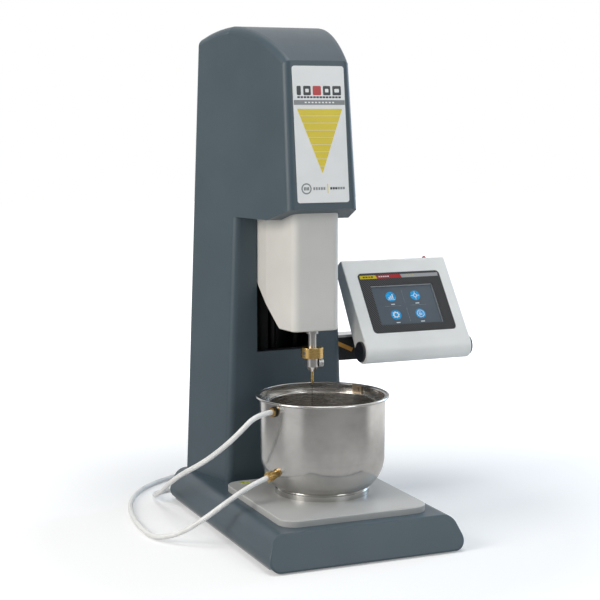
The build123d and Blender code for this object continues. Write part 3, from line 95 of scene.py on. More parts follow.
def noise(tree, vector, scale, detail=3.0, rough=0.55):
    """Noise pattern, 0 to 1."""
    node = tree.nodes.new("ShaderNodeTexNoise")
    node.inputs["Scale"].default_value = scale
    node.inputs["Detail"].default_value = detail
    node.inputs["Roughness"].default_value = rough
    tree.links.new(vector, node.inputs["Vector"])
    return node.outputs["Fac"]


def ramp(tree, value, low, high, at_low=0.35, at_high=0.65):
    """Colour between two colours as value rises."""
    node = tree.nodes.new("ShaderNodeValToRGB")
    node.color_ramp.elements[0].position = at_low
    node.color_ramp.elements[1].position = at_high
    node.color_ramp.elements[0].color = (*low, 1)
    node.color_ramp.elements[1].color = (*high, 1)
    tree.links.new(value, node.inputs["Fac"])
    return node.outputs["Color"]


def spread(tree, value, low, high):
    """Number between low and high as value goes from 0 to 1."""
    node = tree.nodes.new("ShaderNodeMapRange")
    node.inputs["To Min"].default_value = low
    node.inputs["To Max"].default_value = high
    tree.links.new(value, node.inputs["Value"])
    return node.outputs["Result"]


def bumped(tree, bsdf, height, strength, distance):
    """Fine relief from a height pattern."""
    node = tree.nodes.new("ShaderNodeBump")
    node.inputs["Strength"].default_value = strength
    node.inputs["Distance"].default_value = distance
    tree.links.new(height, node.inputs["Height"])
    tree.links.new(node.outputs["Normal"], bsdf.inputs["Normal"])


def shade(colour, factor):
    """Colour made darker or lighter."""
    return tuple(min(1.0, c * factor) for c in colour)


def paint(name, colour, rough, grain, relief, metal=0.0, coat=0.0):
    """Sprayed or moulded surface: fine grain in relief, faint drift in colour and gloss."""
    mat, tree, bsdf, coords = shader(name, colour, rough, metal, coat)
    drift = noise(tree, coords, 9.0)
    tree.links.new(ramp(tree, drift, shade(colour, 0.94), shade(colour, 1.06)), bsdf.inputs["Base Color"])
    tree.links.new(spread(tree, noise(tree, coords, 35.0), rough - 0.05, rough + 0.07), bsdf.inputs["Roughness"])
    bumped(tree, bsdf, noise(tree, coords, grain, 2.0), relief, 0.0003)
    return mat


def brushed(name, colour, rough, stretch, relief=0.06, metal=1.0):
    """Metal with fine lines drawn out along one or two axes."""
    mat, tree, bsdf, coords = shader(name, colour, rough, metal)
    lines = noise(tree, stretched(tree, coords, stretch), 1.0, 4.0, 0.6)
    clouds = noise(tree, coords, 28.0, 3.0)
    tree.links.new(ramp(tree, clouds, shade(colour, 0.90), shade(colour, 1.08)), bsdf.inputs["Base Color"])
    tree.links.new(spread(tree, lines, rough - 0.06, rough + 0.10), bsdf.inputs["Roughness"])
    bumped(tree, bsdf, lines, relief, 0.0002)
    return mat


SLATE = (0.056, 0.084, 0.103)
NOSE_GREY = (0.68, 0.66, 0.62)
IVORY = (0.95, 0.95, 0.92)

slate_paint = paint("slate_paint", SLATE, 0.42, 1400.0, 0.05)
nose_paint = paint("nose_paint", NOSE_GREY, 0.40, 1400.0, 0.04)
platform_paint = paint("platform_paint", (0.45, 0.45, 0.44), 0.38, 1800.0, 0.05)
ivory_plastic = paint("ivory_plastic", IVORY, 0.38, 1200.0, 0.03)
black_plastic = paint("black_plastic", (0.010, 0.012, 0.018), 0.38, 1500.0, 0.08)
black_paint = paint("black_paint", (0.006, 0.007, 0.010), 0.45, 1500.0, 0.06)
# Painted shade: near-black paint standing in for the deep shade inside the column slot
slot_painted_shade = paint("slot_painted_shade", (0.004, 0.005, 0.007), 0.6, 1500.0, 0.05)
rubber = paint("foot_rubber", (0.012, 0.012, 0.013), 0.75, 900.0, 0.15)
seal_black = paint("seal_black", (0.010, 0.010, 0.010), 0.5, 1800.0, 0.1)
stylus_red = paint("stylus_red", (0.42, 0.025, 0.02), 0.25, 1500.0, 0.02, coat=0.5)
label_card = paint("label_card", (0.80, 0.80, 0.79), 0.32, 1800.0, 0.02)
label_yellow = paint("label_yellow", (0.72, 0.56, 0.01), 0.34, 1800.0, 0.02)
label_grey = paint("label_grey", (0.22, 0.23, 0.23), 0.34, 1800.0, 0.02)
label_red = paint("label_red", (0.50, 0.02, 0.02), 0.34, 1800.0, 0.02)
label_black = paint("label_black", (0.02, 0.02, 0.022), 0.34, 1800.0, 0.02)
label_silver = paint("label_silver", (0.42, 0.42, 0.43), 0.34, 1800.0, 0.02)
icon_white = paint("icon_white", (0.80, 0.86, 0.90), 0.30, 1800.0, 0.02)
bubble_pale = paint("bubble_pale", (0.75, 0.80, 0.35), 0.12, 1800.0, 0.02)
black_steel = brushed("blackened_steel", (0.012, 0.012, 0.014), 0.35, (60.0, 60.0, 1500.0), 0.05, 0.6)
black_alloy = paint("black_anodised", (0.010, 0.011, 0.013), 0.45, 1500.0, 0.06)
aluminium = brushed("machined_aluminium", (0.62, 0.63, 0.64), 0.34, (1500.0, 60.0, 60.0))
ground_steel = brushed("ground_steel", (0.66, 0.67, 0.69), 0.16, (60.0, 60.0, 1500.0))
turned_steel = brushed("turned_steel", (0.52, 0.51, 0.50), 0.28, (60.0, 60.0, 2600.0), 0.12)
needle_steel = brushed("needle_steel", (0.30, 0.30, 0.31), 0.22, (60.0, 60.0, 1800.0))
brass = brushed("turned_brass", (0.62, 0.42, 0.16), 0.24, (80.0, 80.0, 2600.0), 0.10)
sheet_steel = brushed("sheet_steel", (0.45, 0.45, 0.46), 0.45, (60.0, 1200.0, 60.0))
bath_steel = brushed("bath_steel", (0.60, 0.59, 0.57), 0.17, (30.0, 30.0, 900.0), 0.05)
cup_steel = brushed("cup_steel", (0.62, 0.60, 0.57), 0.24, (30.0, 30.0, 1100.0), 0.06)
clip_steel = brushed("clip_steel", (0.42, 0.34, 0.25), 0.34, (900.0, 900.0, 60.0), 0.10)
ribbon_orange = paint("ribbon_orange", (0.55, 0.27, 0.04), 0.45, 1500.0, 0.03)
ribbon_grey = paint("ribbon_grey", (0.30, 0.30, 0.31), 0.45, 1500.0, 0.03)


def hose_material():
    """Milky silicone: light goes in and comes back soft."""
    mat, tree, bsdf, coords = shader("hose_silicone", (0.83, 0.83, 0.81), 0.32)
    bsdf.inputs["Subsurface Weight"].default_value = 0.6
    bsdf.inputs["Subsurface Radius"].default_value = (0.004, 0.004, 0.004)
    cloudy = noise(tree, coords, 60.0, 2.0)
    tree.links.new(ramp(tree, cloudy, (0.78, 0.78, 0.76), (0.86, 0.86, 0.85)), bsdf.inputs["Base Color"])
    bumped(tree, bsdf, noise(tree, coords, 700.0, 2.0), 0.05, 0.0002)
    return mat


def glowing_level_material():
    """Yellow-green spirit under its window, with a faint painted glow."""
    mat, tree, bsdf, coords = shader("level_fluid", (0.55, 0.62, 0.03), 0.12, coat=1.0)
    # Painted glow: a faint emission that brightens the spirit, though it is no lamp
    bsdf.inputs["Emission Color"].default_value = (0.55, 0.62, 0.03, 1)
    bsdf.inputs["Emission Strength"].default_value = 0.15
    swirl = noise(tree, coords, 120.0, 2.0)
    tree.links.new(ramp(tree, swirl, (0.50, 0.58, 0.02), (0.62, 0.70, 0.05)), bsdf.inputs["Base Color"])
    return mat


def screen_material():
    """Dark glass of the screen, its tone drifting a little at random."""
    mat, tree, bsdf, coords = shader("screen_glass", (0.11, 0.13, 0.16), 0.18, coat=0.6)
    drift = noise(tree, coords, 12.0, 2.0)
    tree.links.new(ramp(tree, drift, (0.095, 0.118, 0.145), (0.125, 0.15, 0.18)), bsdf.inputs["Base Color"])
    return mat


def glowing(name, colour, strength):
    """Figure on the lit screen."""
    mat, tree, bsdf, coords = shader(name, colour, 0.25)
    drift = noise(tree, coords, 300.0, 2.0)
    tint = ramp(tree, drift, shade(colour, 0.75), shade(colour, 1.25))
    tree.links.new(tint, bsdf.inputs["Base Color"])
    tree.links.new(tint, bsdf.inputs["Emission Color"])
    bsdf.inputs["Emission Strength"].default_value = strength
    return mat


def bezel_material():
    """Printed film with a close pattern of slanting stripes."""
    mat, tree, bsdf, coords = shader("bezel_film", (0.02, 0.022, 0.026), 0.30)
    turned = tree.nodes.new("ShaderNodeMapping")
    turned.inputs["Rotation"].default_value = (0, math.radians(42), 0)
    tree.links.new(coords, turned.inputs["Vector"])
    stripes = tree.nodes.new("ShaderNodeTexWave")
    stripes.bands_direction = "X"
    stripes.inputs["Scale"].default_value = 140.0
    stripes.inputs["Distortion"].default_value = 0.3
    tree.links.new(turned.outputs["Vector"], stripes.inputs["Vector"])
    tree.links.new(ramp(tree, stripes.outputs["Fac"], (0.010, 0.012, 0.016), (0.085, 0.085, 0.085), 0.3, 0.7),
                   bsdf.inputs["Base Color"])
    return mat


hose_white = hose_material()
icon_blue = glowing("icon_blue", (0.015, 0.26, 0.55), 0.35)
screen_line = glowing("screen_line", (0.20, 0.24, 0.27), 0.1)
bezel_film = bezel_material()
level_fluid = glowing_level_material()
screen_glass = screen_material()


def dress(mat, *names):
    """Gives CAD nodes a material."""
    for name in names:
        mesh = nodes[name].data
        mesh.materials.clear()
        mesh.materials.append(mat)


dress(slate_paint, "base_casing", "column_casing", "rear_cover")
dress(platform_paint, "platform", "level_bezel")
dress(nose_paint, "nose_housing")
dress(sheet_steel, "bottom_plate")
dress(black_alloy, "spine_plate", "lower_bearing_block", "upper_bearing_block", "carriage_block", "carriage_shelf")
# The slot liner carries the painted shade of the slot
dress(slot_painted_shade, "slot_liner")
dress(label_card, "front_label")
dress(black_plastic, "power_inlet", "switch_rocker", "hinge_cap_left", "hinge_cap_right",
      "scale_reader")
dress(bezel_film, "display_bezel")
dress(level_fluid, "level_vial")
dress(aluminium, "arm_top_plate")
dress(black_steel, "guide_rod_left", "guide_rod_right", "lead_screw")
dress(ground_steel, "pivot_shaft")
dress(black_paint, "drive_motor", "release_magnet", "display_arm")
dress(turned_steel, "guide_bush", "spindle", "needle_chuck", "thumb_screw", "scale_strip",
      "release_pin")
dress(needle_steel, "needle")
dress(brass, "weight_collar", "ferrule", "lead_nut", "upper_port", "lower_fitting", "hose_union_upper",
      "hose_union_lower")
dress(bath_steel, "bath_vessel")
dress(cup_steel, "inner_cup")
dress(clip_steel, "bath_clip")
dress(seal_black, "port_seal")
dress(ivory_plastic, "display_front_shell", "display_rear_shell")
dress(screen_glass, "lcd_panel")
dress(stylus_red, "stylus")
dress(ribbon_orange, "display_ribbon")
dress(rubber, "foot_front_left", "foot_front_right", "foot_rear_left", "foot_rear_right")
dress(hose_white, "hose_upper", "hose_lower", "hose_coil_upper", "hose_coil_lower")


# Hoses: the route's points from the CAD, then the turns of the coil and its tail
BATH_CENTRE = Vector((4.0, -20.0, 0.0))
HOSE_R = 3.0
COIL_Y, COIL_UPPER_X, COIL_LOWER_X, COIL_MID_R = 245.0, -30.0, 80.0, 33.0
FIRST_RUN, UPPER_LEAD_IN, LOWER_LEAD_IN = 22.0, 22.0, 28.0
COIL_TURN_POINTS = 16
UPPER_TURNS, LOWER_TURNS = 3.0, 2.25
# Coil lay, as turns made, radius and height: outer turn, inner turn, up, inner turn, outer turn
COIL_LAY = ((0.0, 36.0, 3.0), (0.75, 36.0, 3.0), (1.0, 30.0, 3.0), (1.5, 30.0, 3.0), (1.75, 30.0, 9.0),
            (2.25, 30.0, 9.0), (2.5, 36.0, 9.0), (3.0, 36.0, 9.0))
# Tail past the coil, as run made and height, down to the end fitting
TAIL_LAY = ((18.0, 9.0), (25.0, 7.6), (30.0, 5.6), (33.0, 4.6))


def outward(angle, tilt):
    """Direction away from the bath, angle from the front towards the left, tilt downwards."""
    a, t = math.radians(angle), math.radians(tilt)
    return Vector((-math.sin(a) * math.cos(t), -math.cos(a) * math.cos(t), -math.sin(t)))


port_dir = outward(71.4, 0)
port_face = BATH_CENTRE + port_dir * (72.4 + 1.6 + 3.0) + Vector((0, 0, 149.4))
lower_dir = outward(74.0, 12.0)
lower_face = BATH_CENTRE + outward(74.0, 0) * 66.6 + Vector((0, 0, 77.5)) + lower_dir * (6.0 + 8.0)

upper_route = [
    port_face,
    port_face + port_dir * FIRST_RUN,
    Vector((-107, -46, 130)),
    Vector((-122, -27, 108)),
    Vector((-132, 12, 84)),
    Vector((-137, 68, 60)),
    Vector((-136, 122, 35)),
    Vector((-136, 168, 10)),
    Vector((-131, 200, HOSE_R)),
    Vector((-112, 214, HOSE_R)),
    Vector((COIL_UPPER_X - COIL_MID_R - UPPER_LEAD_IN, COIL_Y - COIL_MID_R, HOSE_R)),
    Vector((COIL_UPPER_X - COIL_MID_R, COIL_Y - COIL_MID_R, HOSE_R)),
]
lower_route = [
    lower_face,
    lower_face + lower_dir * FIRST_RUN,
    Vector((-120, -43, 53)),
    Vector((-146, -31, 31)),
    Vector((-168, -12, 12)),
    Vector((-188, 14, HOSE_R)),
    Vector((-190, 64, HOSE_R)),
    Vector((-182, 130, HOSE_R)),
    Vector((-164, 188, HOSE_R)),
    Vector((-134, 236, HOSE_R)),
    Vector((-90, 272, HOSE_R)),
    Vector((-40, 296, HOSE_R)),
    Vector((-8, 296, HOSE_R)),
    Vector((COIL_LOWER_X - COIL_MID_R - LOWER_LEAD_IN, COIL_Y + COIL_MID_R, HOSE_R)),
    Vector((COIL_LOWER_X - COIL_MID_R, COIL_Y + COIL_MID_R, HOSE_R)),
]


def lay_at(turn):
    """Radius and height of the coil after some turns."""
    for (t0, r0, z0), (t1, r1, z1) in zip(COIL_LAY, COIL_LAY[1:]):
        if turn <= t1:
            share = (turn - t0) / (t1 - t0)
            return r0 + (r1 - r0) * share, z0 + (z1 - z0) * share
    return COIL_LAY[-1][1:]


def coil_points(centre, start_angle, spin, turns):
    """Points round the coil, set out a little so that the smooth curve keeps its radius."""
    points = []
    swell = 1 / math.cos(math.pi / COIL_TURN_POINTS)
    for i in range(round(turns * COIL_TURN_POINTS) + 1):
        turn = i / COIL_TURN_POINTS
        radius, height = lay_at(turn)
        angle = start_angle + spin * turn * 2 * math.pi
        spoke = Vector((math.cos(angle), math.sin(angle), 0)) * radius * swell
        points.append(centre + spoke + Vector((0, 0, height)))
    return points


def hose(name, route, centre_x, spin, turns, tail_dir):
    """One hose as a single smooth spline, from its fitting to the union at its end."""
    centre = Vector((centre_x, COIL_Y, 0))
    start_angle = -spin * math.pi / 2
    end_spoke = Vector((-tail_dir.y, tail_dir.x, 0)) * -spin
    tail = [centre + end_spoke * COIL_MID_R + tail_dir * run + Vector((0, 0, high)) for run, high in TAIL_LAY]
    points = route + coil_points(centre, start_angle, spin, turns) + tail
    curve = bpy.data.curves.new(name, "CURVE")
    curve.dimensions = "3D"
    curve.bevel_depth = HOSE_R * MM
    curve.bevel_resolution = 5
    curve.use_fill_caps = True
    spline = curve.splines.new("NURBS")
    spline.points.add(len(points) - 1)
    for target, point in zip(spline.points, points):
        target.co = (*(point * MM), 1)
    spline.order_u = 3
    spline.use_endpoint_u = True
    spline.resolution_u = 6
    obj = bpy.data.objects.new(name, curve)
    bpy.context.scene.collection.objects.link(obj)
    obj.data.materials.append(hose_white)
    return obj


for hose_name, route, centre_x, spin, turns, tail_dir, length in (
    ("upper", upper_route, COIL_UPPER_X, 1, UPPER_TURNS, Vector((1, 0, 0)), 1.1),
    ("lower", lower_route, COIL_LOWER_X, -1, LOWER_TURNS, Vector((0, -1, 0)), 1.2),
):
    piece = hose(f"water_hose_{hose_name}", route, centre_x, spin, turns, tail_dir)
    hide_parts(f"hose_{hose_name}", f"hose_coil_{hose_name}")
    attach(piece, "frame")


# Small pieces: artwork, screws, the level's bubble, all as thin solids on named planes
def plane(origin, x_axis, up):
    """Places u along x_axis, v along up and w out of the face, all in millimetres, into the frame."""
    x, v = Vector(x_axis).normalized(), Vector(up).normalized()
    w = x.cross(v)
    turn = Matrix((x, v, w)).transposed().to_4x4()
    return Matrix.Translation(Vector(origin) * MM) @ turn @ Matrix.Scale(MM, 4)


def box_outline(u0, v0, u1, v1, corner=0.0, steps=5):
    """Rectangle, its corners rounded if asked."""
    if corner <= 0:
        return [(u0, v0), (u1, v0), (u1, v1), (u0, v1)]
    points = []
    for cu, cv, first in ((u1 - corner, v1 - corner, 0), (u0 + corner, v1 - corner, 90),
                          (u0 + corner, v0 + corner, 180), (u1 - corner, v0 + corner, 270)):
        for i in range(steps + 1):
            angle = math.radians(first + 90 * i / steps)
            points.append((cu + corner * math.cos(angle), cv + corner * math.sin(angle)))
    return points


def disc_outline(u, v, radius, steps=28):
    """Circle as a fine polygon."""
    return [(u + radius * math.cos(2 * math.pi * i / steps), v + radius * math.sin(2 * math.pi * i / steps))
            for i in range(steps)]


def gear_outline(u, v, radius, teeth, depth):
    """Round figure with square teeth."""
    points = []
    for i in range(teeth * 4):
        reach = radius if i % 4 in (0, 1) else radius - depth
        angle = 2 * math.pi * i / (teeth * 4)
        points.append((u + reach * math.cos(angle), v + reach * math.sin(angle)))
    return points


class Piece:
    """Mesh piece put together from prisms and turned forms."""

    def __init__(self, name, body, slot, *mats):
        self.name, self.body, self.slot, self.mats = name, body, slot, mats
        self.bm = bmesh.new()

    def prism(self, place, outline, low, high, mat=0):
        """Outline pushed from low to high along the face's normal."""
        under = [self.bm.verts.new(place @ Vector((u, v, low))) for u, v in outline]
        over = [self.bm.verts.new(place @ Vector((u, v, high))) for u, v in outline]
        faces = [self.bm.faces.new(list(reversed(under))), self.bm.faces.new(over)]
        for i in range(len(outline)):
            j = (i + 1) % len(outline)
            faces.append(self.bm.faces.new((under[i], under[j], over[j], over[i])))
        for face in faces:
            face.material_index = mat

    def turned(self, place, rings, steps=24, mat=0):
        """Stack of rings (radius, height, sides); sides 0 is round and 6 a hexagon."""
        loops = []
        for radius, height, sides in rings:
            loop = []
            for i in range(steps):
                angle = 2 * math.pi * i / steps
                reach = radius
                if sides:
                    part = 2 * math.pi / sides
                    reach = radius * math.cos(part / 2) / math.cos(angle % part - part / 2)
                loop.append(self.bm.verts.new(place @ Vector((reach * math.cos(angle),
                                                              reach * math.sin(angle), height))))
            loops.append(loop)
        faces = [self.bm.faces.new(list(reversed(loops[0]))), self.bm.faces.new(loops[-1])]
        for lower, upper in zip(loops, loops[1:]):
            for i in range(steps):
                j = (i + 1) % steps
                faces.append(self.bm.faces.new((lower[i], lower[j], upper[j], upper[i])))
        for face in faces:
            face.material_index = mat

    def screw(self, place, radius, height, mat=0):
        """Button head with a hexagon socket."""
        self.turned(place, ((radius, -0.3 * height, 0), (radius, 0.35 * height, 0), (0.9 * radius, 0.75 * height, 0),
                            (0.66 * radius, height, 0), (0.50 * radius, height, 6),
                            (0.47 * radius, 0.3 * height, 6)), mat=mat)

    def finish(self):
        mesh = bpy.data.meshes.new(self.name)
        bmesh.ops.recalc_face_normals(self.bm, faces=self.bm.faces)
        self.bm.to_mesh(mesh)
        self.bm.free()
        mesh.shade_smooth()
        mesh.set_sharp_from_angle(angle=math.radians(32))
        for mat in self.mats:
            mesh.materials.append(mat)
        obj = bpy.data.objects.new(self.name, mesh)
        bpy.context.scene.collection.objects.link(obj)
        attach(obj, self.body)
        return obj


def turned_place(origin, axis):
    """Frame at a point with its w along an axis."""
    turn = Vector(axis).normalized().to_track_quat("Z", "Y").to_matrix().to_4x4()
    return Matrix.Translation(Vector(origin) * MM) @ turn @ Matrix.Scale(MM, 4)


# Card on the head: ticks in place of a title, a band, a cone of bars, a plain foot line
CARD_HALF_WIDTH, CARD_HALF_HEIGHT = 31.45, 76.35
CARD_UP = Vector((0, 0.1168, 0.9932))
card_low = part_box("front_label")[0] / MM
card_centre = Vector((0, card_low.y, card_low.z + 0.12)) + CARD_UP * CARD_HALF_HEIGHT
card = plane(card_centre, (1, 0, 0), CARD_UP)
INK = 0.12
art = Piece("label_artwork", "frame", "label_print", label_black, label_red, label_grey, label_yellow,
            label_card)
TITLE_LOW, TITLE_HIGH = 43.6, 54.0
for i, (left, wide, mat) in enumerate(((-27.0, 5.0, 0), (-19.0, 9.0, 0), (-7.5, 10.0, 1), (5.0, 9.0, 0),
                                       (16.5, 10.5, 0))):
    art.prism(card, box_outline(left, TITLE_LOW, left + wide, TITLE_HIGH, 1.2), 0, INK, mat)
    if i in (1, 3, 4):
        art.prism(card, box_outline(left + 2.4, TITLE_LOW + 3.2, left + wide - 2.4, TITLE_HIGH - 3.2, 0.8),
                  INK, INK + 0.05, 4)
for i in range(14):
    dash = -26.5 + 3.85 * i
    art.prism(card, box_outline(dash, 40.4, dash + 3.0, 42.4), 0, INK, 0)
art.prism(card, box_outline(-CARD_HALF_WIDTH + 0.4, 32.9, CARD_HALF_WIDTH - 0.4, 38.2), 0, INK, 2)
for i in range(9):
    art.prism(card, box_outline(-18 + 4.2 * i, 34.8, -15.6 + 4.2 * i, 36.3), INK, INK + 0.05, 4)
CONE_TOP, CONE_TIP, CONE_HALF, CONE_BARS, BAR_GAP = 28.4, -43.7, 27.5, 9, 0.45
bar_pitch = (CONE_TOP - CONE_TIP) / CONE_BARS
for i in range(CONE_BARS):
    high = CONE_TOP - i * bar_pitch
    low = max(high - bar_pitch + BAR_GAP, CONE_TIP)
    half_high = CONE_HALF * (high - CONE_TIP) / (CONE_TOP - CONE_TIP)
    half_low = CONE_HALF * (low - CONE_TIP) / (CONE_TOP - CONE_TIP)
    half_low = max(half_low, 0.15)
    art.prism(card, [(-half_low, low), (half_low, low), (half_high, high), (-half_high, high)], 0, INK, 3)
FOOT_V = -60.5
art.prism(card, disc_outline(-20.5, FOOT_V, 6.2), 0, INK, 2)
art.prism(card, disc_outline(-20.5, FOOT_V, 4.7), INK, INK + 0.05, 4)
for i in range(4):
    art.prism(card, box_outline(-23.6 + 1.7 * i, FOOT_V - 1.8, -22.6 + 1.7 * i, FOOT_V + 1.8), INK, INK + 0.1, 0)
for i in range(5):
    art.prism(card, box_outline(-12.2 + 3.1 * i, FOOT_V - 1.5, -10.0 + 3.1 * i, FOOT_V + 1.5), 0, INK, 2)
art.prism(card, box_outline(5.2, FOOT_V - 5.2, 6.0, FOOT_V + 5.2), 0, INK, 3)
for i in range(6):
    art.prism(card, box_outline(8.5 + 3.1 * i, FOOT_V - 1.3, 10.9 + 3.1 * i, FOOT_V + 1.3), 0, INK, 0 if i < 3 else 2)
art.finish()

# Display artwork: header bar on the bezel, figures and rules on the glass
DISPLAY_TILT = math.radians(37.0)
FACE_UP = Vector((0, math.sin(DISPLAY_TILT), math.cos(DISPLAY_TILT)))
FACE_OUT = Vector((0, -math.cos(DISPLAY_TILT), math.sin(DISPLAY_TILT)))
HINGE = Vector((91.5, 60.0, 191.5))
BEZEL_OUT, GLASS_OUT = 15.5, 12.5
bezel_face = plane(HINGE + FACE_OUT * BEZEL_OUT, (1, 0, 0), FACE_UP)
glass_face = plane(HINGE + FACE_OUT * GLASS_OUT, (1, 0, 0), FACE_UP)
BEZEL_LEFT, BEZEL_RIGHT, BEZEL_LOW, BEZEL_HIGH = 16.4, 130.1, 16.0, 100.8
WINDOW = (29.4, 26.4, 115.5, 82.6)
HEADER_LOW, HEADER_HIGH = 92.6, 97.6
art = Piece("display_artwork", "display", "display_print", label_yellow, label_red, label_silver, label_black,
            icon_blue, icon_white, screen_line)
art.prism(bezel_face, [(18.6, HEADER_LOW), (42.0, HEADER_LOW), (40.6, HEADER_HIGH), (18.6, HEADER_HIGH)], 0, INK, 0)
art.prism(bezel_face, [(42.4, HEADER_LOW), (76.0, HEADER_LOW), (74.4, HEADER_HIGH), (41.0, HEADER_HIGH)], 0, INK, 1)
art.prism(bezel_face, [(76.4, HEADER_LOW), (127.2, HEADER_LOW), (127.8, HEADER_HIGH), (74.8, HEADER_HIGH)], 0, INK, 2)
for i in range(4):
    art.prism(bezel_face, box_outline(22.5 + 3.8 * i, 94.2, 25.3 + 3.8 * i, 96.0), INK, INK + 0.05, 3 if i != 2 else 1)
for i in range(5):
    art.prism(bezel_face, box_outline(44.5 + 3.0 * i, 94.4, 46.7 + 3.0 * i, 95.9), INK, INK + 0.05, 5)
for i in range(3):
    art.prism(bezel_face, box_outline(82.5 + 4.6 * i, 94.4, 84.9 + 4.6 * i, 95.8), INK, INK + 0.05, 0)
for u0, v0, u1, v1 in ((29.4, 26.4, 115.5, 26.9), (29.4, 82.1, 115.5, 82.6), (29.4, 26.9, 29.9, 82.1),
                       (115.0, 26.9, 115.5, 82.1)):
    art.prism(glass_face, box_outline(u0, v0, u1, v1), 0, INK, 6)
ICON_R = 6.9
icon_spots = ((54.5, 67.5), (88.5, 67.5), (54.5, 41.5), (88.5, 41.5))
for u, v in icon_spots:
    art.prism(glass_face, disc_outline(u, v, ICON_R), 0, INK, 4)
    art.prism(glass_face, box_outline(u - 2.6, v - 11.6, u + 2.6, v - 10.4), 0, INK, 5)
OVER = INK + 0.08
u, v = icon_spots[0]
for i, tall in enumerate((2.6, 4.6, 6.6)):
    art.prism(glass_face, box_outline(u - 3.4 + 2.5 * i, v - 3.2, u - 1.8 + 2.5 * i, v - 3.2 + tall), INK, OVER, 5)
art.prism(glass_face, box_outline(u - 5.2, v - 4.6, u + 5.2, v - 4.0), INK, OVER, 5)
u, v = icon_spots[1]
art.prism(glass_face, disc_outline(u, v, 2.7), INK, OVER, 5)
art.prism(glass_face, disc_outline(u, v, 1.7), OVER, OVER + 0.05, 4)
for du, dv in ((1, 0), (-1, 0), (0, 1), (0, -1)):
    mid_u, mid_v = u + 4.2 * du, v + 4.2 * dv
    art.prism(glass_face, box_outline(mid_u - 0.4 - 0.9 * abs(du), mid_v - 0.4 - 0.9 * abs(dv),
                                      mid_u + 0.4 + 0.9 * abs(du), mid_v + 0.4 + 0.9 * abs(dv)), INK, OVER, 5)
u, v = icon_spots[2]
art.prism(glass_face, gear_outline(u, v, 4.9, 8, 1.0), INK, OVER, 5)
art.prism(glass_face, disc_outline(u, v, 2.4), OVER, OVER + 0.05, 4)
u, v = icon_spots[3]
art.prism(glass_face, disc_outline(u, v, 5.1), INK, OVER, 5)
art.prism(glass_face, disc_outline(u, v, 4.3), OVER, OVER + 0.05, 4)
art.prism(glass_face, box_outline(u - 2.6, v - 0.45, u + 2.6, v + 0.45), OVER + 0.05, OVER + 0.1, 5)
art.prism(glass_face, box_outline(u - 2.6, v + 1.5, u + 0.8, v + 2.4), OVER + 0.05, OVER + 0.1, 5)
art.prism(glass_face, box_outline(u - 2.6, v - 2.4, u + 1.6, v - 1.5), OVER + 0.05, OVER + 0.1, 5)
for u0, v0, u1, v1 in ((71.3, 57.5, 71.7, 76.5), (71.3, 31.5, 71.7, 50.5), (43.0, 53.8, 65.0, 54.2),
                       (78.0, 53.8, 100.0, 54.2)):
    art.prism(glass_face, box_outline(u0, v0, u1, v1), 0, INK, 6)
art.finish()

# Screws of the hinge caps, the arm, the rear cover and the bottom plate
cap_left, cap_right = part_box("hinge_cap_left")[0].x / MM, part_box("hinge_cap_right")[1].x / MM
screws = Piece("hinge_screws", "display", "turned_steel", turned_steel)
screws.screw(turned_place((cap_left + 0.9, HINGE.y, HINGE.z), (-1, 0, 0)), 3.0, 0.8)
screws.screw(turned_place((cap_right - 0.9, HINGE.y, HINGE.z), (1, 0, 0)), 3.0, 0.8)
screws.finish()

plate_low, plate_high = (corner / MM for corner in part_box("arm_top_plate"))
cover_low, cover_high = (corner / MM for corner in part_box("rear_cover"))
bottom_low, bottom_high = (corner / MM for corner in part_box("bottom_plate"))
screws = Piece("case_screws", "frame", "turned_steel", turned_steel)
COVER_EDGE, COVER_ROWS = 6.5, 4
for row in range(COVER_ROWS):
    z = cover_low.z + 12 + (cover_high.z - cover_low.z - 24) * row / (COVER_ROWS - 1)
    for x in (cover_low.x + COVER_EDGE, cover_high.x - COVER_EDGE):
        screws.screw(turned_place((x, cover_high.y, z), (0, 1, 0)), 3.0, 1.2)
for x in (104.0, 128.0):
    screws.screw(turned_place((x, plate_low.y + 6.5, plate_high.z), (0, 0, 1)), 2.6, 1.0)
for x, y in ((bottom_low.x + 14, 0.0), (bottom_high.x - 14, 0.0), (0.0, bottom_low.y + 14), (0.0, 60.0)):
    screws.screw(turned_place((x, y, bottom_low.z), (0, 0, -1)), 2.8, 1.0)
screws.finish()

# Grub screw in the needle weight, facing the left of the camera
COLLAR_R, COLLAR_MID_Z = 13.1, 206.1
grub_dir = Vector((-0.93, -0.37, 0))
grub = Piece("collar_grub_screw", "spindle", "turned_steel", needle_steel)
grub.turned(turned_place(grub_dir * (COLLAR_R - 1.0) + Vector((0, 0, COLLAR_MID_Z)), grub_dir),
            ((1.9, 0.0, 0), (1.9, 1.0, 0), (1.7, 1.2, 0), (1.05, 1.2, 6), (1.0, 0.4, 6)))
grub.finish()

# Round level: target ring and bubble under the window
vial_low, vial_high = (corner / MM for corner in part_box("level_vial"))
vial_top = plane(((vial_low.x + vial_high.x) / 2, (vial_low.y + vial_high.y) / 2, vial_high.z), (1, 0, 0), (0, 1, 0))
level = Piece("level_marks", "frame", "level_fluid", label_black, bubble_pale, level_fluid)
level.prism(vial_top, disc_outline(0, 0, 2.9), 0, 0.03, 0)
level.prism(vial_top, disc_outline(0, 0, 2.5), 0.03, 0.05, 2)
level.prism(vial_top, disc_outline(0.4, -0.3, 1.7), 0.05, 0.09, 1)
level.finish()


# World: white behind; polished faces see a studio with dark and bright sides, the rest a dim room
CAMERA_SIDE = math.atan2(CAMERA_AT.y - CAMERA_LOOKS_AT.y, CAMERA_AT.x - CAMERA_LOOKS_AT.x)
# Brightness seen in a mirror, by its angle from the camera's side, -180 to 180 as 0 to 1
STUDIO = ((0.00, 0.95), (0.14, 0.90), (0.17, 0.20), (0.29, 0.24), (0.32, 0.80), (0.39, 0.72), (0.42, 0.26),
          (0.58, 0.34), (0.72, 0.30), (0.76, 0.95), (1.00, 0.95))


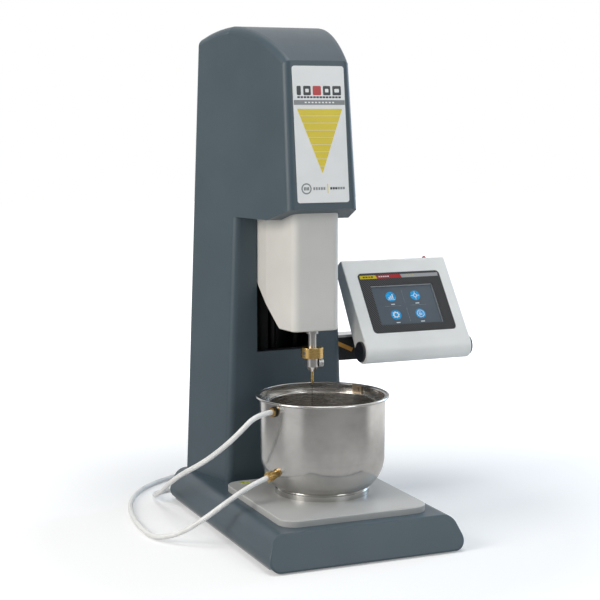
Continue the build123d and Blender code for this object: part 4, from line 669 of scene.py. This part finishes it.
def math_node(tree, operation, first, second=None, value=None):
    """One sum, its second part another socket or a plain number."""
    node = tree.nodes.new("ShaderNodeMath")
    node.operation = operation
    tree.links.new(first, node.inputs[0])
    if second is not None:
        tree.links.new(second, node.inputs[1])
    if value is not None:
        node.inputs[1].default_value = value
    return node.outputs[0]


def studio_bands(tree, vector):
    """Studio brightness for a direction, or for a place round the object."""
    turn = tree.nodes.new("ShaderNodeVectorRotate")
    turn.rotation_type = "Z_AXIS"
    turn.inputs["Angle"].default_value = -CAMERA_SIDE
    tree.links.new(vector, turn.inputs["Vector"])
    parts = tree.nodes.new("ShaderNodeSeparateXYZ")
    tree.links.new(turn.outputs["Vector"], parts.inputs["Vector"])
    side = math_node(tree, "ARCTAN2", parts.outputs["Y"], parts.outputs["X"])
    share = tree.nodes.new("ShaderNodeMapRange")
    share.inputs["From Min"].default_value = -math.pi
    share.inputs["From Max"].default_value = math.pi
    tree.links.new(side, share.inputs["Value"])
    bands = tree.nodes.new("ShaderNodeValToRGB")
    for position, seen_level in STUDIO[1:-1]:
        bands.color_ramp.elements.new(position)
    for element, (position, seen_level) in zip(bands.color_ramp.elements, STUDIO):
        element.position = position
        element.color = (seen_level, seen_level, seen_level, 1)
    tree.links.new(share.outputs["Result"], bands.inputs["Fac"])
    return bands.outputs["Color"]


def background(tree, colour, strength):
    """World background of one colour, a value or a socket."""
    node = tree.nodes.new("ShaderNodeBackground")
    if isinstance(colour, tuple):
        node.inputs["Color"].default_value = colour
    else:
        tree.links.new(colour, node.inputs["Color"])
    node.inputs["Strength"].default_value = strength
    return node.outputs[0]


def either(tree, factor, first, second):
    """First shader where factor is 0, second where it is 1."""
    node = tree.nodes.new("ShaderNodeMixShader")
    tree.links.new(factor, node.inputs["Fac"])
    tree.links.new(first, node.inputs[1])
    tree.links.new(second, node.inputs[2])
    return node.outputs[0]


world = bpy.data.worlds.new("studio")
bpy.context.scene.world = world
world.use_nodes = True
tree = world.node_tree
tree.nodes.clear()
out = tree.nodes.new("ShaderNodeOutputWorld")
path = tree.nodes.new("ShaderNodeLightPath")
coords = tree.nodes.new("ShaderNodeTexCoord")
white = background(tree, (1, 1, 1, 1), 1.0)
studio = background(tree, studio_bands(tree, coords.outputs["Generated"]), 1.0)
room = background(tree, (0.84, 0.90, 0.97, 1), ROOM_LEVEL)
open_view = math_node(tree, "MAXIMUM", path.outputs["Is Camera Ray"], path.outputs["Is Transmission Ray"])
lit = either(tree, path.outputs["Is Glossy Ray"], room, studio)
tree.links.new(either(tree, open_view, lit, white), out.inputs["Surface"])


def lamp(name, at, aim, size, power, colour=(1, 1, 1)):
    """Soft rectangular lamp."""
    data = bpy.data.lights.new(name, "AREA")
    data.shape = "RECTANGLE"
    data.size, data.size_y = size
    data.energy = power
    data.color = colour
    obj = bpy.data.objects.new(name, data)
    bpy.context.scene.collection.objects.link(obj)
    obj.location = at
    obj.rotation_euler = (Vector(aim) - Vector(at)).to_track_quat("-Z", "Y").to_euler()


lamp("side_key", (-1.9, -0.2, 1.1), (0.0, 0.0, 0.25), (1.0, 1.2), 26, (1.0, 0.96, 0.90))
lamp("front_fill", (0.9, -1.9, 1.3), (0.0, 0.0, 0.25), (0.8, 1.0), 11, (0.92, 0.97, 1.0))
lamp("top", (0.0, -0.2, 2.2), (0.0, 0.0, 0.3), (1.0, 1.0), 13)
lamp("blue_rim", (1.7, 0.5, 0.7), (0.1, 0.0, 0.3), (0.5, 1.0), 9, (0.50, 0.74, 1.0))

# Floor: white to the lens away from the object, with the object's soft shadow kept round it
FLOOR_HALF = 6.0
floor_mesh = bpy.data.meshes.new("floor")
floor_mesh.from_pydata([(-FLOOR_HALF, -FLOOR_HALF, 0), (FLOOR_HALF, -FLOOR_HALF, 0),
                        (FLOOR_HALF, FLOOR_HALF, 0), (-FLOOR_HALF, FLOOR_HALF, 0)], [], [(0, 1, 2, 3)])
floor = bpy.data.objects.new("floor", floor_mesh)
bpy.context.scene.collection.objects.link(floor)
floor_mat = bpy.data.materials.new("floor_white")
floor_mat.use_nodes = True
tree = floor_mat.node_tree
bsdf = tree.nodes["Principled BSDF"]
bsdf.inputs["Base Color"].default_value = (0.80, 0.80, 0.80, 1)
bsdf.inputs["Roughness"].default_value = 0.9
bsdf.inputs["Specular IOR Level"].default_value = 0.0
coords = tree.nodes.new("ShaderNodeTexCoord")
path = tree.nodes.new("ShaderNodeLightPath")
reach = tree.nodes.new("ShaderNodeVectorMath")
reach.operation = "LENGTH"
tree.links.new(coords.outputs["Object"], reach.inputs[0])
fade = tree.nodes.new("ShaderNodeMapRange")
fade.inputs["From Min"].default_value = 0.30
fade.inputs["From Max"].default_value = 1.10
fade.inputs["To Min"].default_value = FLOOR_GLOW
fade.inputs["To Max"].default_value = 1.0
tree.links.new(reach.outputs["Value"], fade.inputs["Value"])
lens_glow = math_node(tree, "MULTIPLY", path.outputs["Is Camera Ray"], fade.outputs["Result"])
near = tree.nodes.new("ShaderNodeMapRange")
near.inputs["From Min"].default_value = 0.50
near.inputs["From Max"].default_value = 0.62
tree.links.new(reach.outputs["Value"], near.inputs["Value"])
far_bands = studio_bands(tree, coords.outputs["Object"])
mixed = tree.nodes.new("ShaderNodeMix")
mixed.data_type = "RGBA"
mixed.inputs["A"].default_value = (0.55, 0.55, 0.55, 1)
tree.links.new(near.outputs["Result"], mixed.inputs["Factor"])
tree.links.new(far_bands, mixed.inputs["B"])
tree.links.new(lens_glow, bsdf.inputs["Emission Strength"])
bsdf.inputs["Emission Color"].default_value = (1, 1, 1, 1)
mirrored = tree.nodes.new("ShaderNodeEmission")
tree.links.new(mixed.outputs["Result"], mirrored.inputs["Color"])
floor_out = tree.nodes["Material Output"]
tree.links.new(either(tree, path.outputs["Is Glossy Ray"], bsdf.outputs[0], mirrored.outputs[0]),
               floor_out.inputs["Surface"])
floor.data.materials.append(floor_mat)
